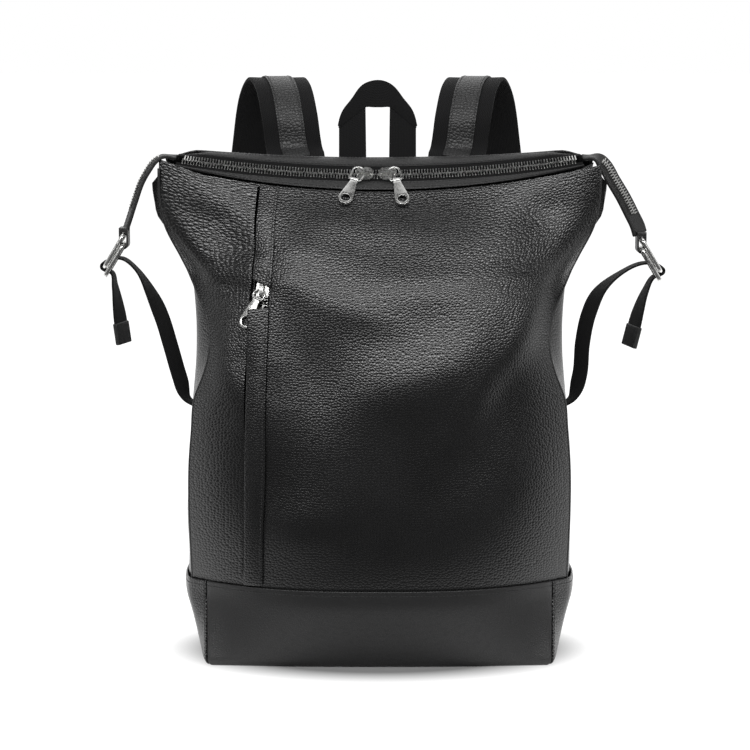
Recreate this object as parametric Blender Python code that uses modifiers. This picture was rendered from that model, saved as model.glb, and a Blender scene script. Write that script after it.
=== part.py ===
"""Leather zip-top backpack, modelled as the pieces it is sewn and fitted from.

Metres, +Z up, +X to the right as the front is seen, +Y to the wearer's back.
The origin is the centre of the base's underside.
"""

import math

import bmesh
import bpy
from mathutils import Matrix, Vector

MM = 0.001
X_AXIS = Vector((1, 0, 0))
Y_AXIS = Vector((0, 1, 0))
Z_AXIS = Vector((0, 0, 1))
SIDES = {"left": -1, "right": 1}

# Body: heights, leather and the shape of the front
SEAM_Z = 72 * MM
PANEL_FOOT_Z = 64 * MM
PANEL_TOP_Z = 436 * MM
FOLD_Z = 345 * MM
PANEL_ROWS = 17
LEATHER = 2.0 * MM
GAP = 0.4 * MM
FRONT_Y = -96.5 * MM
FRONT_BULGE_Z = 165 * MM
FRONT_RADIUS = 545 * MM
FRONT_POWER = 2.7
FRONT_FULLNESS = 7.0
FRONT_EDGE_Y = (-8 * MM, -4.3 * MM)
FRONT_HALF_WIDTH = [(60, 168), (76, 168), (132, 169.5), (175, 169), (206, 166.5), (234, 164),
                    (258, 155), (278, 150), (306, 152.5), (328, 162), (357, 176.5), (384, 190),
                    (408, 194), (436, 194)]
BACK_HALF_WIDTH = [(60, 169), (150, 171), (330, 170), (380, 180), (436, 192)]
BACK_MIDDLE_Y = [(60, 70), (150, 75), (250, 75), (300, 72), (350, 62), (400, 40), (436, 17)]
BACK_EDGE_Y = [(60, 53), (150, 58), (250, 55), (300, 50), (350, 39), (400, 22), (436, 9)]
BACK_POWER = 3.0
GUSSET_X = [(60, 172), (110, 172), (150, 171), (200, 169), (240, 160), (280, 140), (330, 126), (380, 131),
            (420, 148)]
GUSSET_TOP_Z = 408 * MM
GUSSET_LEATHER = 1.6 * MM
GUSSET_GAP = 1.4 * MM
SEAM_LAP = 4 * MM

# Base band: it follows the bag at the seam and squares off towards the foot
BASE_LEVELS = [(0, 0.0, 2.2), (4, 0.04, 0.3), (20, 0.3, 0), (40, 0.65, 0), (58, 1.0, 0), (72, 1.0, 0)]
BASE_LEATHER = 1.8 * MM
BASE_CORNER_X = 152 * MM
BASE_STAND_OFF = 3.4 * MM
BASE_SIDE = [(178, -12), (179, 20), (176.5, 44)]
BASE_FOOT_FRONT = (-75 * MM, 5 * MM)
BASE_FOOT_BACK = (65 * MM, -4 * MM)
BASE_FOOT_END = [(154.6, -66.5), (157, -52), (159, 0), (157, 46), (154.6, 57)]
BASE_FOOT_SIZE = (159 * MM, 70 * MM)

# Main zip: a flat arc in a plane that leans back from the front
ZIP_TILT = math.radians(53)
ZIP_RADIUS = 950 * MM
ZIP_MIDDLE = Vector((0, -10 * MM, 430.7 * MM))
ZIP_END_ANGLE = math.radians(10.9)
PANEL_END_ANGLE = math.radians(11.75)
TOOTH_PITCH = 2.55 * MM
TOOTH_TIP = 0.8 * MM
TOOTH_VALLEY = 3.0 * MM
TOOTH_ROOT = 4.2 * MM
TOOTH_HALF_HEIGHT = 1.2 * MM
TAPE_INNER = 4.6 * MM
TAPE_OUTER = 8.0 * MM
TAPE_THICKNESS = 0.8 * MM
FACING_INNER = 8.4 * MM
FACING_THICKNESS = 1.3 * MM
FRONT_MARGIN = (11 * MM, 8 * MM)
BACK_MARGIN = (12.8 * MM, 13.2 * MM)
BACK_FOLD = math.radians(22.5)
BACK_END_FOLD = math.radians(38)
BACK_END_START = 0.84
FRONT_SEAM = 1.8 * MM
BACK_SEAM = 3.6 * MM
PANEL_EDGE_LIFT = 2.0 * MM

# Sliders, links and pulls
SLIDER_REST_X = {"left": -13.2 * MM, "right": 7.2 * MM}
SLIDER_LENGTH = 14.5 * MM
SLIDER_OUTLINE = [(-7.25, 4.4), (-4.6, 6.4), (-0.8, 6.4), (7.25, 5.6)]
SLIDER_HALF_HEIGHT = 2.9 * MM
CHANNEL_HALF_HEIGHT = 1.5 * MM
CHANNEL_OUTER = 5.0 * MM
WEDGE_HALF = 0.45 * MM
TAPE_SLIT_HALF = 0.7 * MM
BRIDGE_HALF_LENGTH = 6.5 * MM
BRIDGE_HALF_WIDTH = 1.6 * MM
BRIDGE_UNDER = 5.1 * MM
BRIDGE_TOP = 6.4 * MM
BRIDGE_POST = 1.6 * MM
LINK_WIRE = 0.8 * MM
LINK_HALF_WIDTH = 5.2 * MM
LINK_DROP = 8.6 * MM
LINK_HEIGHT = 4.0 * MM
LINK_TILT = {"left": math.radians(-20), "right": math.radians(13)}
PULL_REST_LIFT = math.radians(6)
PULL_THICKNESS = 1.6 * MM
PULL_NECK_HALF = 3.5 * MM
PULL_END_RADIUS = 6.4 * MM
PULL_LENGTH = 22 * MM
PULL_HOLE_RADIUS = 4.0 * MM
PULL_BARREL = 1.6 * MM
PULL_BORE = 1.0 * MM

# Front pocket: its zip runs under a leather strip that leans from top to bottom
POCKET_REST = (-102.5 * MM, 333 * MM)
POCKET_LEAN = math.radians(2.0)
POCKET_TOP_ANGLE = math.radians(1.3)
POCKET_FOOT_ANGLE = math.radians(-24.5)
POCKET_TRIM = math.radians(0.5)
POCKET_SINK = 3.8 * MM
POCKET_SLOT_HALF = 7.2 * MM
POCKET_TAPE_OUTER = 7.9 * MM
PLACKET_HALF_WIDTH = 7.8 * MM
PLACKET_LEATHER = 1.6 * MM
PLACKET_FLAP = (1.8 * MM, 4.0 * MM)
FLAP_REACH = 60 * MM
FLAT_TOP_Z = (375 * MM, 415 * MM)
NOTCH_TOP_Z = 343 * MM
NOTCH_FOOT_Z = 320 * MM
PLACKET_FOOT_Z = 78 * MM
POCKET_LINK_TILT = math.radians(-25)
POCKET_LINK_LIFT = math.radians(12)

# Tails of the main zip, ring buckles and side webbing
TAIL_WIDTH = 20 * MM
TAIL_THICKNESS = 3.0 * MM
TAIL_TWIST = {"left": math.radians(14), "right": math.radians(42)}
TAIL_TURN = (0.3, 0.7)
TAIL_ROUTE = {"left": [(-182, 0.6, 445.5), (-192.5, 3, 446), (-200.5, 4.6, 441), (-205, 4, 435), (-212, 4, 423),
                       (-218, 4, 406.5), (-223.5, 4, 388)],
              "right": [(182, 0.6, 445.5), (192.5, 3, 444.5), (200.5, 4.8, 438), (207.5, 4, 426), (217.5, 4, 409.5),
                        (225, 4, 395), (230, 4, 383.5)]}
BUCKLE_PLACE = {"left": (-227.8, 4, 372.5), "right": (233.5, 4, 368.5)}
RING_WIRE = 1.8 * MM
RING_HALF_WIDTH = 14.8 * MM
RING_REACH = 32.5 * MM
RING_CORNER = 4.4 * MM
RING_SPACING = 8.5 * MM
RING_PLAY = 1.3 * MM
RING_SLOPE = math.radians(59)
LOOP_HALF_WIDTH = 10 * MM
LOOP_WALL = 1.6 * MM
LOOP_NECK = 6.5 * MM
SIDE_WEBBING = 20 * MM
WEBBING = 1.6 * MM
SIDE_ROUTE = {"left": [(-173.5, 7, 213), (-178.5, 6, 228), (-181, 6, 248), (-187.5, 4, 276), (-195, 3, 302),
                       (-204.4, 3, 324), (-217.5, 3, 346), (-230, 3, 355.5)],
              "right": [(173.5, 7, 213), (179, 6, 228), (181, 6, 250), (182.5, 4, 279.5), (187.5, 3, 305),
                        (196.5, 3, 325), (213, 3, 340.5), (235.5, 3, 351.2)]}
TAIL_END_ROUTE = {"left": [(-236.8, 3, 331), (-234.3, 3, 314), (-232, 3, 297)],
                  "right": [(238, 3, 326), (232, 3, 308), (228.5, 3, 294)]}
SIDE_TWIST = (math.radians(25), math.radians(40))
TIP_LENGTH = 22 * MM
TIP_THICKNESS = 4.4 * MM

# Carry handle and shoulder straps
HANDLE_OUTLINE = [(-36.5, 0), (-36.5, 45), (-30, 61), (-12, 85.5), (8.5, 85.5), (26.5, 64), (33, 45), (33, 0)]
HANDLE_HOLE = [(-11.5, 0), (-12.5, 61.5), (9.3, 61.5), (8.3, 0)]
HANDLE_BASE = Vector((0, 28.5 * MM, 427.5 * MM))
HANDLE_ROOT_Z = (396 * MM, 412 * MM)
HANDLE_LEAN = math.radians(-6)
HANDLE_THICKNESS = 3.0 * MM
STRAP_WIDTH = 50 * MM
STRAP_THICKNESS = 3.0 * MM
STRAP_ROUTE = [(75, 27, 452), (79, 30, 480), (85, 48, 505), (93, 74, 513), (103, 101, 496), (111, 121, 450),
               (118, 131, 385), (125, 131, 300), (129, 124, 230), (130.5, 118.5, 197)]
STRAP_FOOT_Z = 388 * MM
STRAP_FOOT_X = 73 * MM
STRAP_STAND_OFF = 2.6 * MM
STRAP_SHIFT = {"left": -1.5 * MM, "right": -4 * MM}
STRAP_LEAN = -0.12
STRIP_START = 4
STRIP_WIDTH = 24 * MM
STRIP_THICKNESS = 1.5 * MM
LINKING_RING_WIRE = 2.0 * MM
LOWER_WIDTH = 25 * MM
LOWER_MIDDLE = Vector((132.5, 97, 134)) * MM
TAB_Z = (95 * MM, 76 * MM)
TAB_X = 133 * MM
TAB_THICKNESS = 5 * MM
TAB_WIDTH = 33 * MM
TAB_STAND_OFF = 4.2 * MM
YOKE_HALF_WIDTH = 104 * MM
YOKE_Z = (384 * MM, 410 * MM)
YOKE_STAND_OFF = 8.4 * MM

# Inside
LINING_INSET = 11.5 * MM
LINING_SIDES = 20
LINING_THICKNESS = 0.8 * MM
LINING_LEVELS = [12, 60, 120, 180, 230, 270, 315, 362]
BOARD_THICKNESS = 3 * MM
POCKET_BAG_DEPTH = 5.5 * MM

COLOURS = {
    "pebbled_leather": ((0.022, 0.022, 0.023), 0.5, 0.0),
    "smooth_leather": ((0.018, 0.018, 0.019), 0.42, 0.0),
    "webbing": ((0.012, 0.012, 0.013), 0.85, 0.0),
    "zip_tape": ((0.010, 0.010, 0.011), 0.9, 0.0),
    "nickel": ((0.62, 0.62, 0.61), 0.28, 1.0),
    "lining": ((0.03, 0.03, 0.032), 0.8, 0.0),
}


def clear_scene():
    for item in list(bpy.data.objects):
        bpy.data.objects.remove(item, do_unlink=True)
    parts = bpy.data.collections.new("leather_backpack")
    bpy.context.scene.collection.children.link(parts)
    return parts


PARTS = clear_scene()
MATERIALS = {}


def material(name):
    """One Principled material for each kind of stuff."""
    if name not in MATERIALS:
        colour, roughness, metallic = COLOURS[name]
        made = bpy.data.materials.new(name)
        made.use_nodes = True
        shader = made.node_tree.nodes["Principled BSDF"]
        shader.inputs["Base Color"].default_value = (*colour, 1)
        shader.inputs["Roughness"].default_value = roughness
        shader.inputs["Metallic"].default_value = metallic
        MATERIALS[name] = made
    return MATERIALS[name]


def keep(name, data, stuff, matrix=None, parent=None):
    """Adds an object to the backpack's collection, placed by a world matrix."""
    item = bpy.data.objects.new(name, data)
    PARTS.objects.link(item)
    data.materials.append(material(stuff))
    item.parent = parent
    if matrix is not None:
        item.matrix_world = matrix
    return item


def smooth_through(knots):
    """A smooth function through (place, value) knots."""
    places = [knot[0] for knot in knots]
    values = [knot[1] for knot in knots]
    steps = [(b - a) for a, b in zip(places, places[1:])]
    slopes = [(b - a) / step for a, b, step in zip(values, values[1:], steps)]
    tangents = [slopes[0]]
    tangents += [0.5 * (a + b) for a, b in zip(slopes, slopes[1:])]
    tangents.append(slopes[-1])

    def value(place):
        place = min(max(place, places[0]), places[-1])
        cell = 0
        while cell < len(steps) - 1 and place > places[cell + 1]:
            cell += 1
        t = (place - places[cell]) / steps[cell]
        a = values[cell]
        b = values[cell + 1]
        rise_a = tangents[cell] * steps[cell]
        rise_b = tangents[cell + 1] * steps[cell]
        return (a * (2 * t**3 - 3 * t**2 + 1) + rise_a * (t**3 - 2 * t**2 + t)
                + b * (3 * t**2 - 2 * t**3) + rise_b * (t**3 - t**2))

    return value


def in_metres(knots):
    """A smooth function from heights and sizes written in millimetres."""
    return smooth_through([(place * MM, size * MM) for place, size in knots])


def along(points, count):
    """Evenly spaced points on a smooth curve through a route's points."""
    distance = [0.0]
    for a, b in zip(points, points[1:]):
        distance.append(distance[-1] + (b - a).length)
    axes = [smooth_through(list(zip(distance, [p[axis] for p in points]))) for axis in range(3)]
    places = [distance[-1] * i / (count - 1) for i in range(count)]
    return [Vector([axis(place) for axis in axes]) for place in places]


def millimetres(points):
    return [Vector(point) * MM for point in points]


def smoothstep(low, high, value):
    t = min(max((value - low) / (high - low), 0), 1)
    return t * t * (3 - 2 * t)


def grid_mesh(name, rows, closed=False):
    """A mesh of quads through rows of points; closed joins each row's ends."""
    mesh = bpy.data.meshes.new(name)
    width = len(rows[0])
    cells = width if closed else width - 1
    points = [tuple(point) for row in rows for point in row]
    faces = []
    for i in range(len(rows) - 1):
        for j in range(cells):
            k = (j + 1) % width
            faces.append((i * width + j, i * width + k, (i + 1) * width + k, (i + 1) * width + j))
    mesh.from_pydata(points, [], faces)
    mesh.shade_smooth()
    return mesh


def sheet(name, rows, thickness, offset, stuff, closed=False):
    """A skin through rows of points with its thickness on one side."""
    item = keep(name, grid_mesh(name, rows, closed), stuff)
    wall = item.modifiers.new("thickness", "SOLIDIFY")
    wall.thickness = thickness
    wall.offset = offset
    return item


def ribbon(name, centres, across, width, thickness, stuff):
    """A strip of even width and thickness along a centre line."""
    rows = []
    for place, point in enumerate(centres):
        before = centres[max(place - 1, 0)]
        after = centres[min(place + 1, len(centres) - 1)]
        tangent = (after - before).normalized()
        side = across(place / (len(centres) - 1))
        side = (side - tangent * side.dot(tangent)).normalized()
        rows.append([point - side * width / 2, point + side * width / 2])
    return sheet(name, rows, thickness, 0, stuff)


def wire(name, points, radius, stuff, matrix=None, parent=None, closed=True):
    """A round wire along points."""
    curve = bpy.data.curves.new(name, "CURVE")
    curve.dimensions = "3D"
    curve.bevel_depth = radius
    curve.bevel_resolution = 1
    curve.use_fill_caps = True
    spline = curve.splines.new("POLY")
    spline.points.add(len(points) - 1)
    for slot, point in zip(spline.points, points):
        slot.co = (*point, 1)
    spline.use_cyclic_u = closed
    return keep(name, curve, stuff, matrix, parent)


def flat_outline(name, loops, thickness, stuff, matrix=None, parent=None):
    """A flat piece from an outline and its holes, centred on its own plane."""
    curve = bpy.data.curves.new(name, "CURVE")
    curve.dimensions = "2D"
    curve.fill_mode = "BOTH"
    curve.extrude = thickness / 2
    for loop in loops:
        spline = curve.splines.new("POLY")
        spline.points.add(len(loop) - 1)
        for slot, (x, y) in zip(spline.points, loop):
            slot.co = (x, y, 0, 1)
        spline.use_cyclic_u = True
    return keep(name, curve, stuff, matrix, parent)


def as_mesh(item):
    """Turns an object into a plain closed mesh under the same name."""
    name = item.name
    matrix = item.matrix_world.copy()
    parent = item.parent
    depsgraph = bpy.context.evaluated_depsgraph_get()
    mesh = bpy.data.meshes.new_from_object(item.evaluated_get(depsgraph))
    stuff = item.data.materials[0].name
    bpy.data.objects.remove(item, do_unlink=True)
    shape = bmesh.new()
    shape.from_mesh(mesh)
    bmesh.ops.remove_doubles(shape, verts=shape.verts, dist=1e-6)
    shape.to_mesh(mesh)
    shape.free()
    mesh.materials.clear()
    return keep(name, mesh, stuff, matrix, parent)


def block_mesh(name, outline, low, high):
    """A block with a flat outline between two heights."""
    mesh = bpy.data.meshes.new(name)
    shape = bmesh.new()
    floor = shape.faces.new([shape.verts.new((x, y, low)) for x, y in outline])
    if floor.normal.z > 0:
        floor.normal_flip()
    floor.normal_update()
    raised = bmesh.ops.extrude_face_region(shape, geom=[floor])
    moved = [part for part in raised["geom"] if isinstance(part, bmesh.types.BMVert)]
    bmesh.ops.translate(shape, verts=moved, vec=(0, 0, high - low))
    bmesh.ops.recalc_face_normals(shape, faces=shape.faces)
    shape.to_mesh(mesh)
    shape.free()
    return mesh


def box_outline(x0, x1, y0, y1):
    return [(x0, y0), (x1, y0), (x1, y1), (x0, y1)]


def reshape(item, mesh, operation, matrix=None):
    """Cuts a mesh from an object, or joins it on, and drops the tool."""
    tool = bpy.data.objects.new("tool", mesh)
    PARTS.objects.link(tool)
    tool.matrix_world = item.matrix_world if matrix is None else matrix
    change = item.modifiers.new("change", "BOOLEAN")
    change.operation = operation
    change.object = tool
    bpy.context.view_layer.update()
    changed = as_mesh(item)
    bpy.data.objects.remove(tool, do_unlink=True)
    return changed


def rod_mesh(name, radius, half_length, sides=10):
    """A rod along X."""
    mesh = bpy.data.meshes.new(name)
    shape = bmesh.new()
    turn = Matrix.Rotation(math.radians(90), 4, "Y")
    bmesh.ops.create_cone(shape, cap_ends=True, segments=sides, radius1=radius, radius2=radius,
                          depth=2 * half_length, matrix=turn)
    shape.to_mesh(mesh)
    shape.free()
    return mesh


def arc(centre, radius, start, end, count):
    """Points of a flat arc, with its angles in degrees."""
    angles = [math.radians(start + (end - start) * i / (count - 1)) for i in range(count)]
    return [(centre[0] + radius * math.cos(a), centre[1] + radius * math.sin(a)) for a in angles]


def frame_matrix(origin, x, y, z):
    matrix = Matrix((x, y, z)).transposed().to_4x4()
    matrix.translation = origin
    return matrix


def joint_empty(name, matrix):
    """An empty on a joint's axis, which carries the moving piece."""
    empty = bpy.data.objects.new(name, None)
    empty.empty_display_size = 0.01
    PARTS.objects.link(empty)
    empty.matrix_world = matrix
    bpy.context.view_layer.update()
    return empty


# The main zip's plane
ZIP_UP = Vector((0, math.cos(ZIP_TILT), math.sin(ZIP_TILT)))
ZIP_OUT = X_AXIS.cross(ZIP_UP)
ZIP_CENTRE = ZIP_MIDDLE + ZIP_UP * ZIP_RADIUS


def zip_point(angle, inward, lift=0.0):
    """A point of the zip's plane: inward is measured from the chain towards the back."""
    radius = ZIP_RADIUS - inward
    flat = X_AXIS * math.sin(angle) - ZIP_UP * math.cos(angle)
    return ZIP_CENTRE + flat * radius + ZIP_OUT * lift


def zip_frame(angle):
    """The local axes of the zip at an angle: along, across and out."""
    along_zip = X_AXIS * math.cos(angle) + ZIP_UP * math.sin(angle)
    across_zip = ZIP_UP * math.cos(angle) - X_AXIS * math.sin(angle)
    return frame_matrix(zip_point(angle, 0), along_zip, across_zip, ZIP_OUT)


# The front and back panels' outer surfaces
front_half_width = in_metres(FRONT_HALF_WIDTH)
back_half_width = in_metres(BACK_HALF_WIDTH)
back_middle_y = in_metres(BACK_MIDDLE_Y)
back_edge_y = in_metres(BACK_EDGE_Y)
gusset_x = in_metres(GUSSET_X)


def front_middle_y(z):
    """The middle of the front is an arc from base to zip."""
    rise = z - FRONT_BULGE_Z
    return FRONT_Y + FRONT_RADIUS - math.sqrt(FRONT_RADIUS**2 - rise**2)


def front_depth(z):
    """How far the front's side edges lie behind its middle."""
    if z <= FOLD_Z:
        return FRONT_FULLNESS * front_half_width(z) ** FRONT_POWER
    low, high = FRONT_EDGE_Y
    part = (z - FOLD_Z) / (PANEL_TOP_Z - FOLD_Z)
    full = FRONT_FULLNESS * front_half_width(FOLD_Z) ** FRONT_POWER + front_middle_y(FOLD_Z)
    edge = full + (high - low) * part
    return edge - front_middle_y(z)


def swell(sizes, u):
    """A size at the zip's ends and how much it grows towards the middle."""
    return sizes[0] + sizes[1] * (1 - min(u * u, 1))


def front_point(u, z):
    """The front's outer surface; u runs from -1 to 1 across it."""
    x = u * front_half_width(z)
    y = front_middle_y(z) + front_depth(z) * abs(u) ** FRONT_POWER
    plain = Vector((x, y, z))
    if z <= FOLD_Z:
        return plain
    top = front_middle_y(PANEL_TOP_Z) + front_depth(PANEL_TOP_Z) * abs(u) ** FRONT_POWER
    plain_top = Vector((u * front_half_width(PANEL_TOP_Z), top, PANEL_TOP_Z))
    edge = zip_point(u * PANEL_END_ANGLE, -swell(FRONT_MARGIN, u), PANEL_EDGE_LIFT)
    return plain + (edge - plain_top) * smoothstep(FOLD_Z, PANEL_TOP_Z, z)


def end_fold(u):
    """How far the back half of the zip is folded down towards the zip's ends."""
    return BACK_END_FOLD * smoothstep(BACK_END_START, 1, abs(u))


def behind_chain(angle, reach, fold, lift):
    """A point behind the chain on a plane folded down along it."""
    inward = reach * math.cos(fold) + lift * math.sin(fold)
    return zip_point(angle, inward, lift * math.cos(fold) - reach * math.sin(fold))


def back_point(u, z):
    """The back's outer surface."""
    x = u * back_half_width(z)
    y = back_middle_y(z) - (back_middle_y(z) - back_edge_y(z)) * abs(u) ** BACK_POWER
    plain = Vector((x, y, z))
    top = back_middle_y(PANEL_TOP_Z)
    top -= (back_middle_y(PANEL_TOP_Z) - back_edge_y(PANEL_TOP_Z)) * abs(u) ** BACK_POWER
    plain_top = Vector((u * back_half_width(PANEL_TOP_Z), top, PANEL_TOP_Z))
    edge = behind_chain(u * PANEL_END_ANGLE, swell(BACK_MARGIN, u), BACK_FOLD + end_fold(u), PANEL_EDGE_LIFT)
    return plain + (edge - plain_top) * smoothstep(FOLD_Z, PANEL_TOP_Z, z)


def surface_normal(point_at, u, z, outward):
    """The outward normal of a panel."""
    step = 1e-3
    du = point_at(u + step, z) - point_at(u - step, z)
    dz = point_at(u, z + step) - point_at(u, z - step)
    normal = du.cross(dz).normalized()
    return normal if normal.dot(outward) > 0 else -normal


def front_normal(u, z):
    return surface_normal(front_point, u, z, -Y_AXIS)


def back_normal(u, z):
    return surface_normal(back_point, u, z, Y_AXIS)


def spread(low, high, count):
    return [low + (high - low) * i / (count - 1) for i in range(count)]


# The pocket zip's track, an arc in a plane that leans with the strip
def track_point(z):
    """Where the strip's middle lies on the front at a height."""
    x = POCKET_REST[0] + math.tan(POCKET_LEAN) * (z - POCKET_REST[1])
    return front_point(x / front_half_width(z), z)


def pocket_frame():
    """The track's rest frame: up along it, across to the left, and out of the front."""
    x, z = POCKET_REST
    u = x / front_half_width(z)
    out = front_normal(u, z)
    up = (track_point(z + MM) - track_point(z - MM)).normalized()
    out = (out - up * out.dot(up)).normalized()
    origin = front_point(u, z) - out * POCKET_SINK
    return frame_matrix(origin, up, out.cross(up), out)


POCKET_REST_FRAME = pocket_frame()
POCKET_UP = POCKET_REST_FRAME.col[0].to_3d()
POCKET_IN = (Y_AXIS - POCKET_UP * Y_AXIS.dot(POCKET_UP)).normalized()
POCKET_AXIS = POCKET_UP.cross(POCKET_IN)
POCKET_CENTRE = track_point(POCKET_REST[1]) + POCKET_IN * FRONT_RADIUS


def pocket_turn(angle):
    """Carries the track's rest frame along the arc; a positive angle moves it up."""
    turn = Matrix.Rotation(angle, 4, POCKET_AXIS)
    return Matrix.Translation(POCKET_CENTRE) @ turn @ Matrix.Translation(-POCKET_CENTRE)


def pocket_point(angle, left, out):
    return pocket_turn(angle) @ (POCKET_REST_FRAME @ Vector((0, left, out)))


# Panels and base
def make_front_panel():
    levels = spread(PANEL_FOOT_Z, PANEL_TOP_Z, PANEL_ROWS)
    rows = [[front_point(u, z) for u in spread(-1, 1, 17)] for z in levels]
    panel = as_mesh(sheet("front_panel", rows, LEATHER, -1, "pebbled_leather"))
    angles = spread(POCKET_FOOT_ANGLE, POCKET_TOP_ANGLE, 12)
    rows = [[pocket_point(a, -POCKET_SLOT_HALF, -2 * MM), pocket_point(a, POCKET_SLOT_HALF, -2 * MM)]
            for a in angles]
    slot = as_mesh(sheet("slot", rows, 12 * MM, -1, "lining"))
    mesh = slot.data.copy()
    bpy.data.objects.remove(slot, do_unlink=True)
    reshape(panel, mesh, "DIFFERENCE", Matrix.Identity(4))


def make_back_panel():
    levels = spread(PANEL_FOOT_Z, PANEL_TOP_Z, 13)
    rows = [[back_point(u, z) for u in spread(-1, 1, 11)] for z in levels]
    sheet("back_panel", rows, LEATHER, 1, "pebbled_leather")


def gusset_section(side, z):
    """The gusset at a height, tucked behind both panels' edges."""
    inset = LEATHER + GUSSET_GAP + GUSSET_LEATHER / 2
    front_tuck = front_point(side * (1 - SEAM_LAP / front_half_width(z)), z)
    front_tuck -= front_normal(side * 0.97, z) * inset
    front_turn = front_point(side, z) - front_normal(side * 0.99, z) * inset
    back_tuck = back_point(side * (1 - SEAM_LAP / back_half_width(z)), z)
    back_tuck -= back_normal(side * 0.97, z) * inset
    back_turn = back_point(side, z) - back_normal(side * 0.99, z) * inset
    middle = Vector((side * gusset_x(z), 0.5 * (front_turn.y + back_turn.y), z))
    points = [front_tuck, front_turn, middle, back_turn, back_tuck]
    return along(points, 7)


def make_gusset(name, side):
    levels = [z for z in spread(PANEL_FOOT_Z, PANEL_TOP_Z, PANEL_ROWS) if z < GUSSET_TOP_Z]
    rows = [gusset_section(side, z) for z in levels]
    sheet("gusset_" + name, rows, GUSSET_LEATHER, 0, "pebbled_leather")


def base_ring(part):
    """The base band's plan at the seam, from left to right or from front to back."""
    z = SEAM_Z - 4 * MM
    front_corner = BASE_CORNER_X / front_half_width(z)
    back_corner = BASE_CORNER_X / back_half_width(z)
    if part == "front":
        return [front_point(u, z) + front_normal(u, z) * BASE_STAND_OFF
                for u in spread(-front_corner, front_corner, 13)]
    if part == "back":
        return [back_point(u, z) + back_normal(u, z) * BASE_STAND_OFF
                for u in spread(-back_corner, back_corner, 13)]
    side = SIDES[part]
    trim = 2 * GAP / BASE_CORNER_X
    turned = X_AXIS * side * BASE_STAND_OFF
    points = [front_point(side * u, z) + front_normal(side * u, z) * BASE_STAND_OFF
              for u in (front_corner + trim, 0.94, 0.97, 1.0)]
    points += [Vector((side * x * MM, y * MM, z)) for x, y in BASE_SIDE]
    points.append(back_point(side, z) + back_normal(side, z) * BASE_STAND_OFF + turned)
    points += [back_point(side * u, z) + back_normal(side * u, z) * BASE_STAND_OFF
               for u in (0.97, 0.94, back_corner + trim)]
    return points


def base_foot(part):
    """The base band's plan at the foot, in the same order."""
    if part in ("front", "back"):
        middle, ends = BASE_FOOT_FRONT if part == "front" else BASE_FOOT_BACK
        return [Vector((BASE_CORNER_X * s, middle + ends * s * s, 0)) for s in spread(-1, 1, 13)]
    return along([Vector((SIDES[part] * x, y, 0)) * MM for x, y in BASE_FOOT_END], 11)


def drawn_in(point, inset):
    """A point of the foot's plan moved in from the edge on both axes."""
    long, deep = BASE_FOOT_SIZE
    return point.x * (1 - inset / long), point.y * (1 - inset / deep)


def base_rows(part):
    """The band's rows from the foot up; the lowest one is drawn in as a rounded edge."""
    rows = []
    for height, share, inset in BASE_LEVELS:
        row = []
        for foot, seam in zip(base_foot(part), base_ring(part)):
            x, y = drawn_in(foot.lerp(seam, share), inset * MM)
            row.append(Vector((x, y, height * MM)))
        rows.append(row)
    return rows


def make_base():
    for part, offset in (("front", -1), ("back", 1), ("left", 1), ("right", -1)):
        sheet("base_" + part, base_rows(part), BASE_LEATHER, offset, "smooth_leather")
    around = base_foot("front") + base_foot("right")[1:-1]
    around += list(reversed(base_foot("back"))) + list(reversed(base_foot("left")))[1:-1]
    outline = [drawn_in(point, BASE_LEATHER + 4.6 * MM) for point in around]
    keep("base_bottom", block_mesh("base_bottom", outline, 0, BASE_LEATHER), "smooth_leather")
    board = [(x * 0.95, y * 0.95) for x, y in outline]
    floor = BASE_LEATHER + GAP
    keep("base_board", block_mesh("base_board", board, floor, floor + BOARD_THICKNESS), "lining")


def lining_ring(z):
    """An oval inside the panels and the folded gussets."""
    level = max(z, PANEL_FOOT_Z)
    inside = min(gusset_x(level), front_half_width(level), back_half_width(level)) - LINING_INSET
    front = front_point(0, level).y + LINING_INSET
    back = back_point(0, level).y - LINING_INSET
    draw = 1.0 if z >= PANEL_FOOT_Z else 0.86
    ring = []
    for i in range(LINING_SIDES):
        turn = 2 * math.pi * i / LINING_SIDES
        bow = math.cos(turn)
        x = draw * inside * math.copysign(abs(bow) ** 0.9, bow)
        reach = back if math.sin(turn) > 0 else -front
        ring.append(Vector((x, draw * reach * math.sin(turn) * 0.97, z)))
    return ring


def make_lining():
    levels = [level * MM for level in LINING_LEVELS]
    rows = [lining_ring(z) for z in levels]
    floor = [[Vector((p.x * k, p.y * k, levels[0])) for p in rows[0]] for k in (0.1, 0.6)]
    name = "main_lining"
    mesh = grid_mesh(name, floor + rows, closed=True)
    shape = bmesh.new()
    shape.from_mesh(mesh)
    shape.verts.ensure_lookup_table()
    shape.faces.new([shape.verts[i] for i in reversed(range(LINING_SIDES))])
    bmesh.ops.recalc_face_normals(shape, faces=shape.faces)
    shape.to_mesh(mesh)
    shape.free()
    item = keep(name, mesh, "lining")
    wall = item.modifiers.new("thickness", "SOLIDIFY")
    wall.thickness = LINING_THICKNESS
    wall.offset = 0


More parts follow.
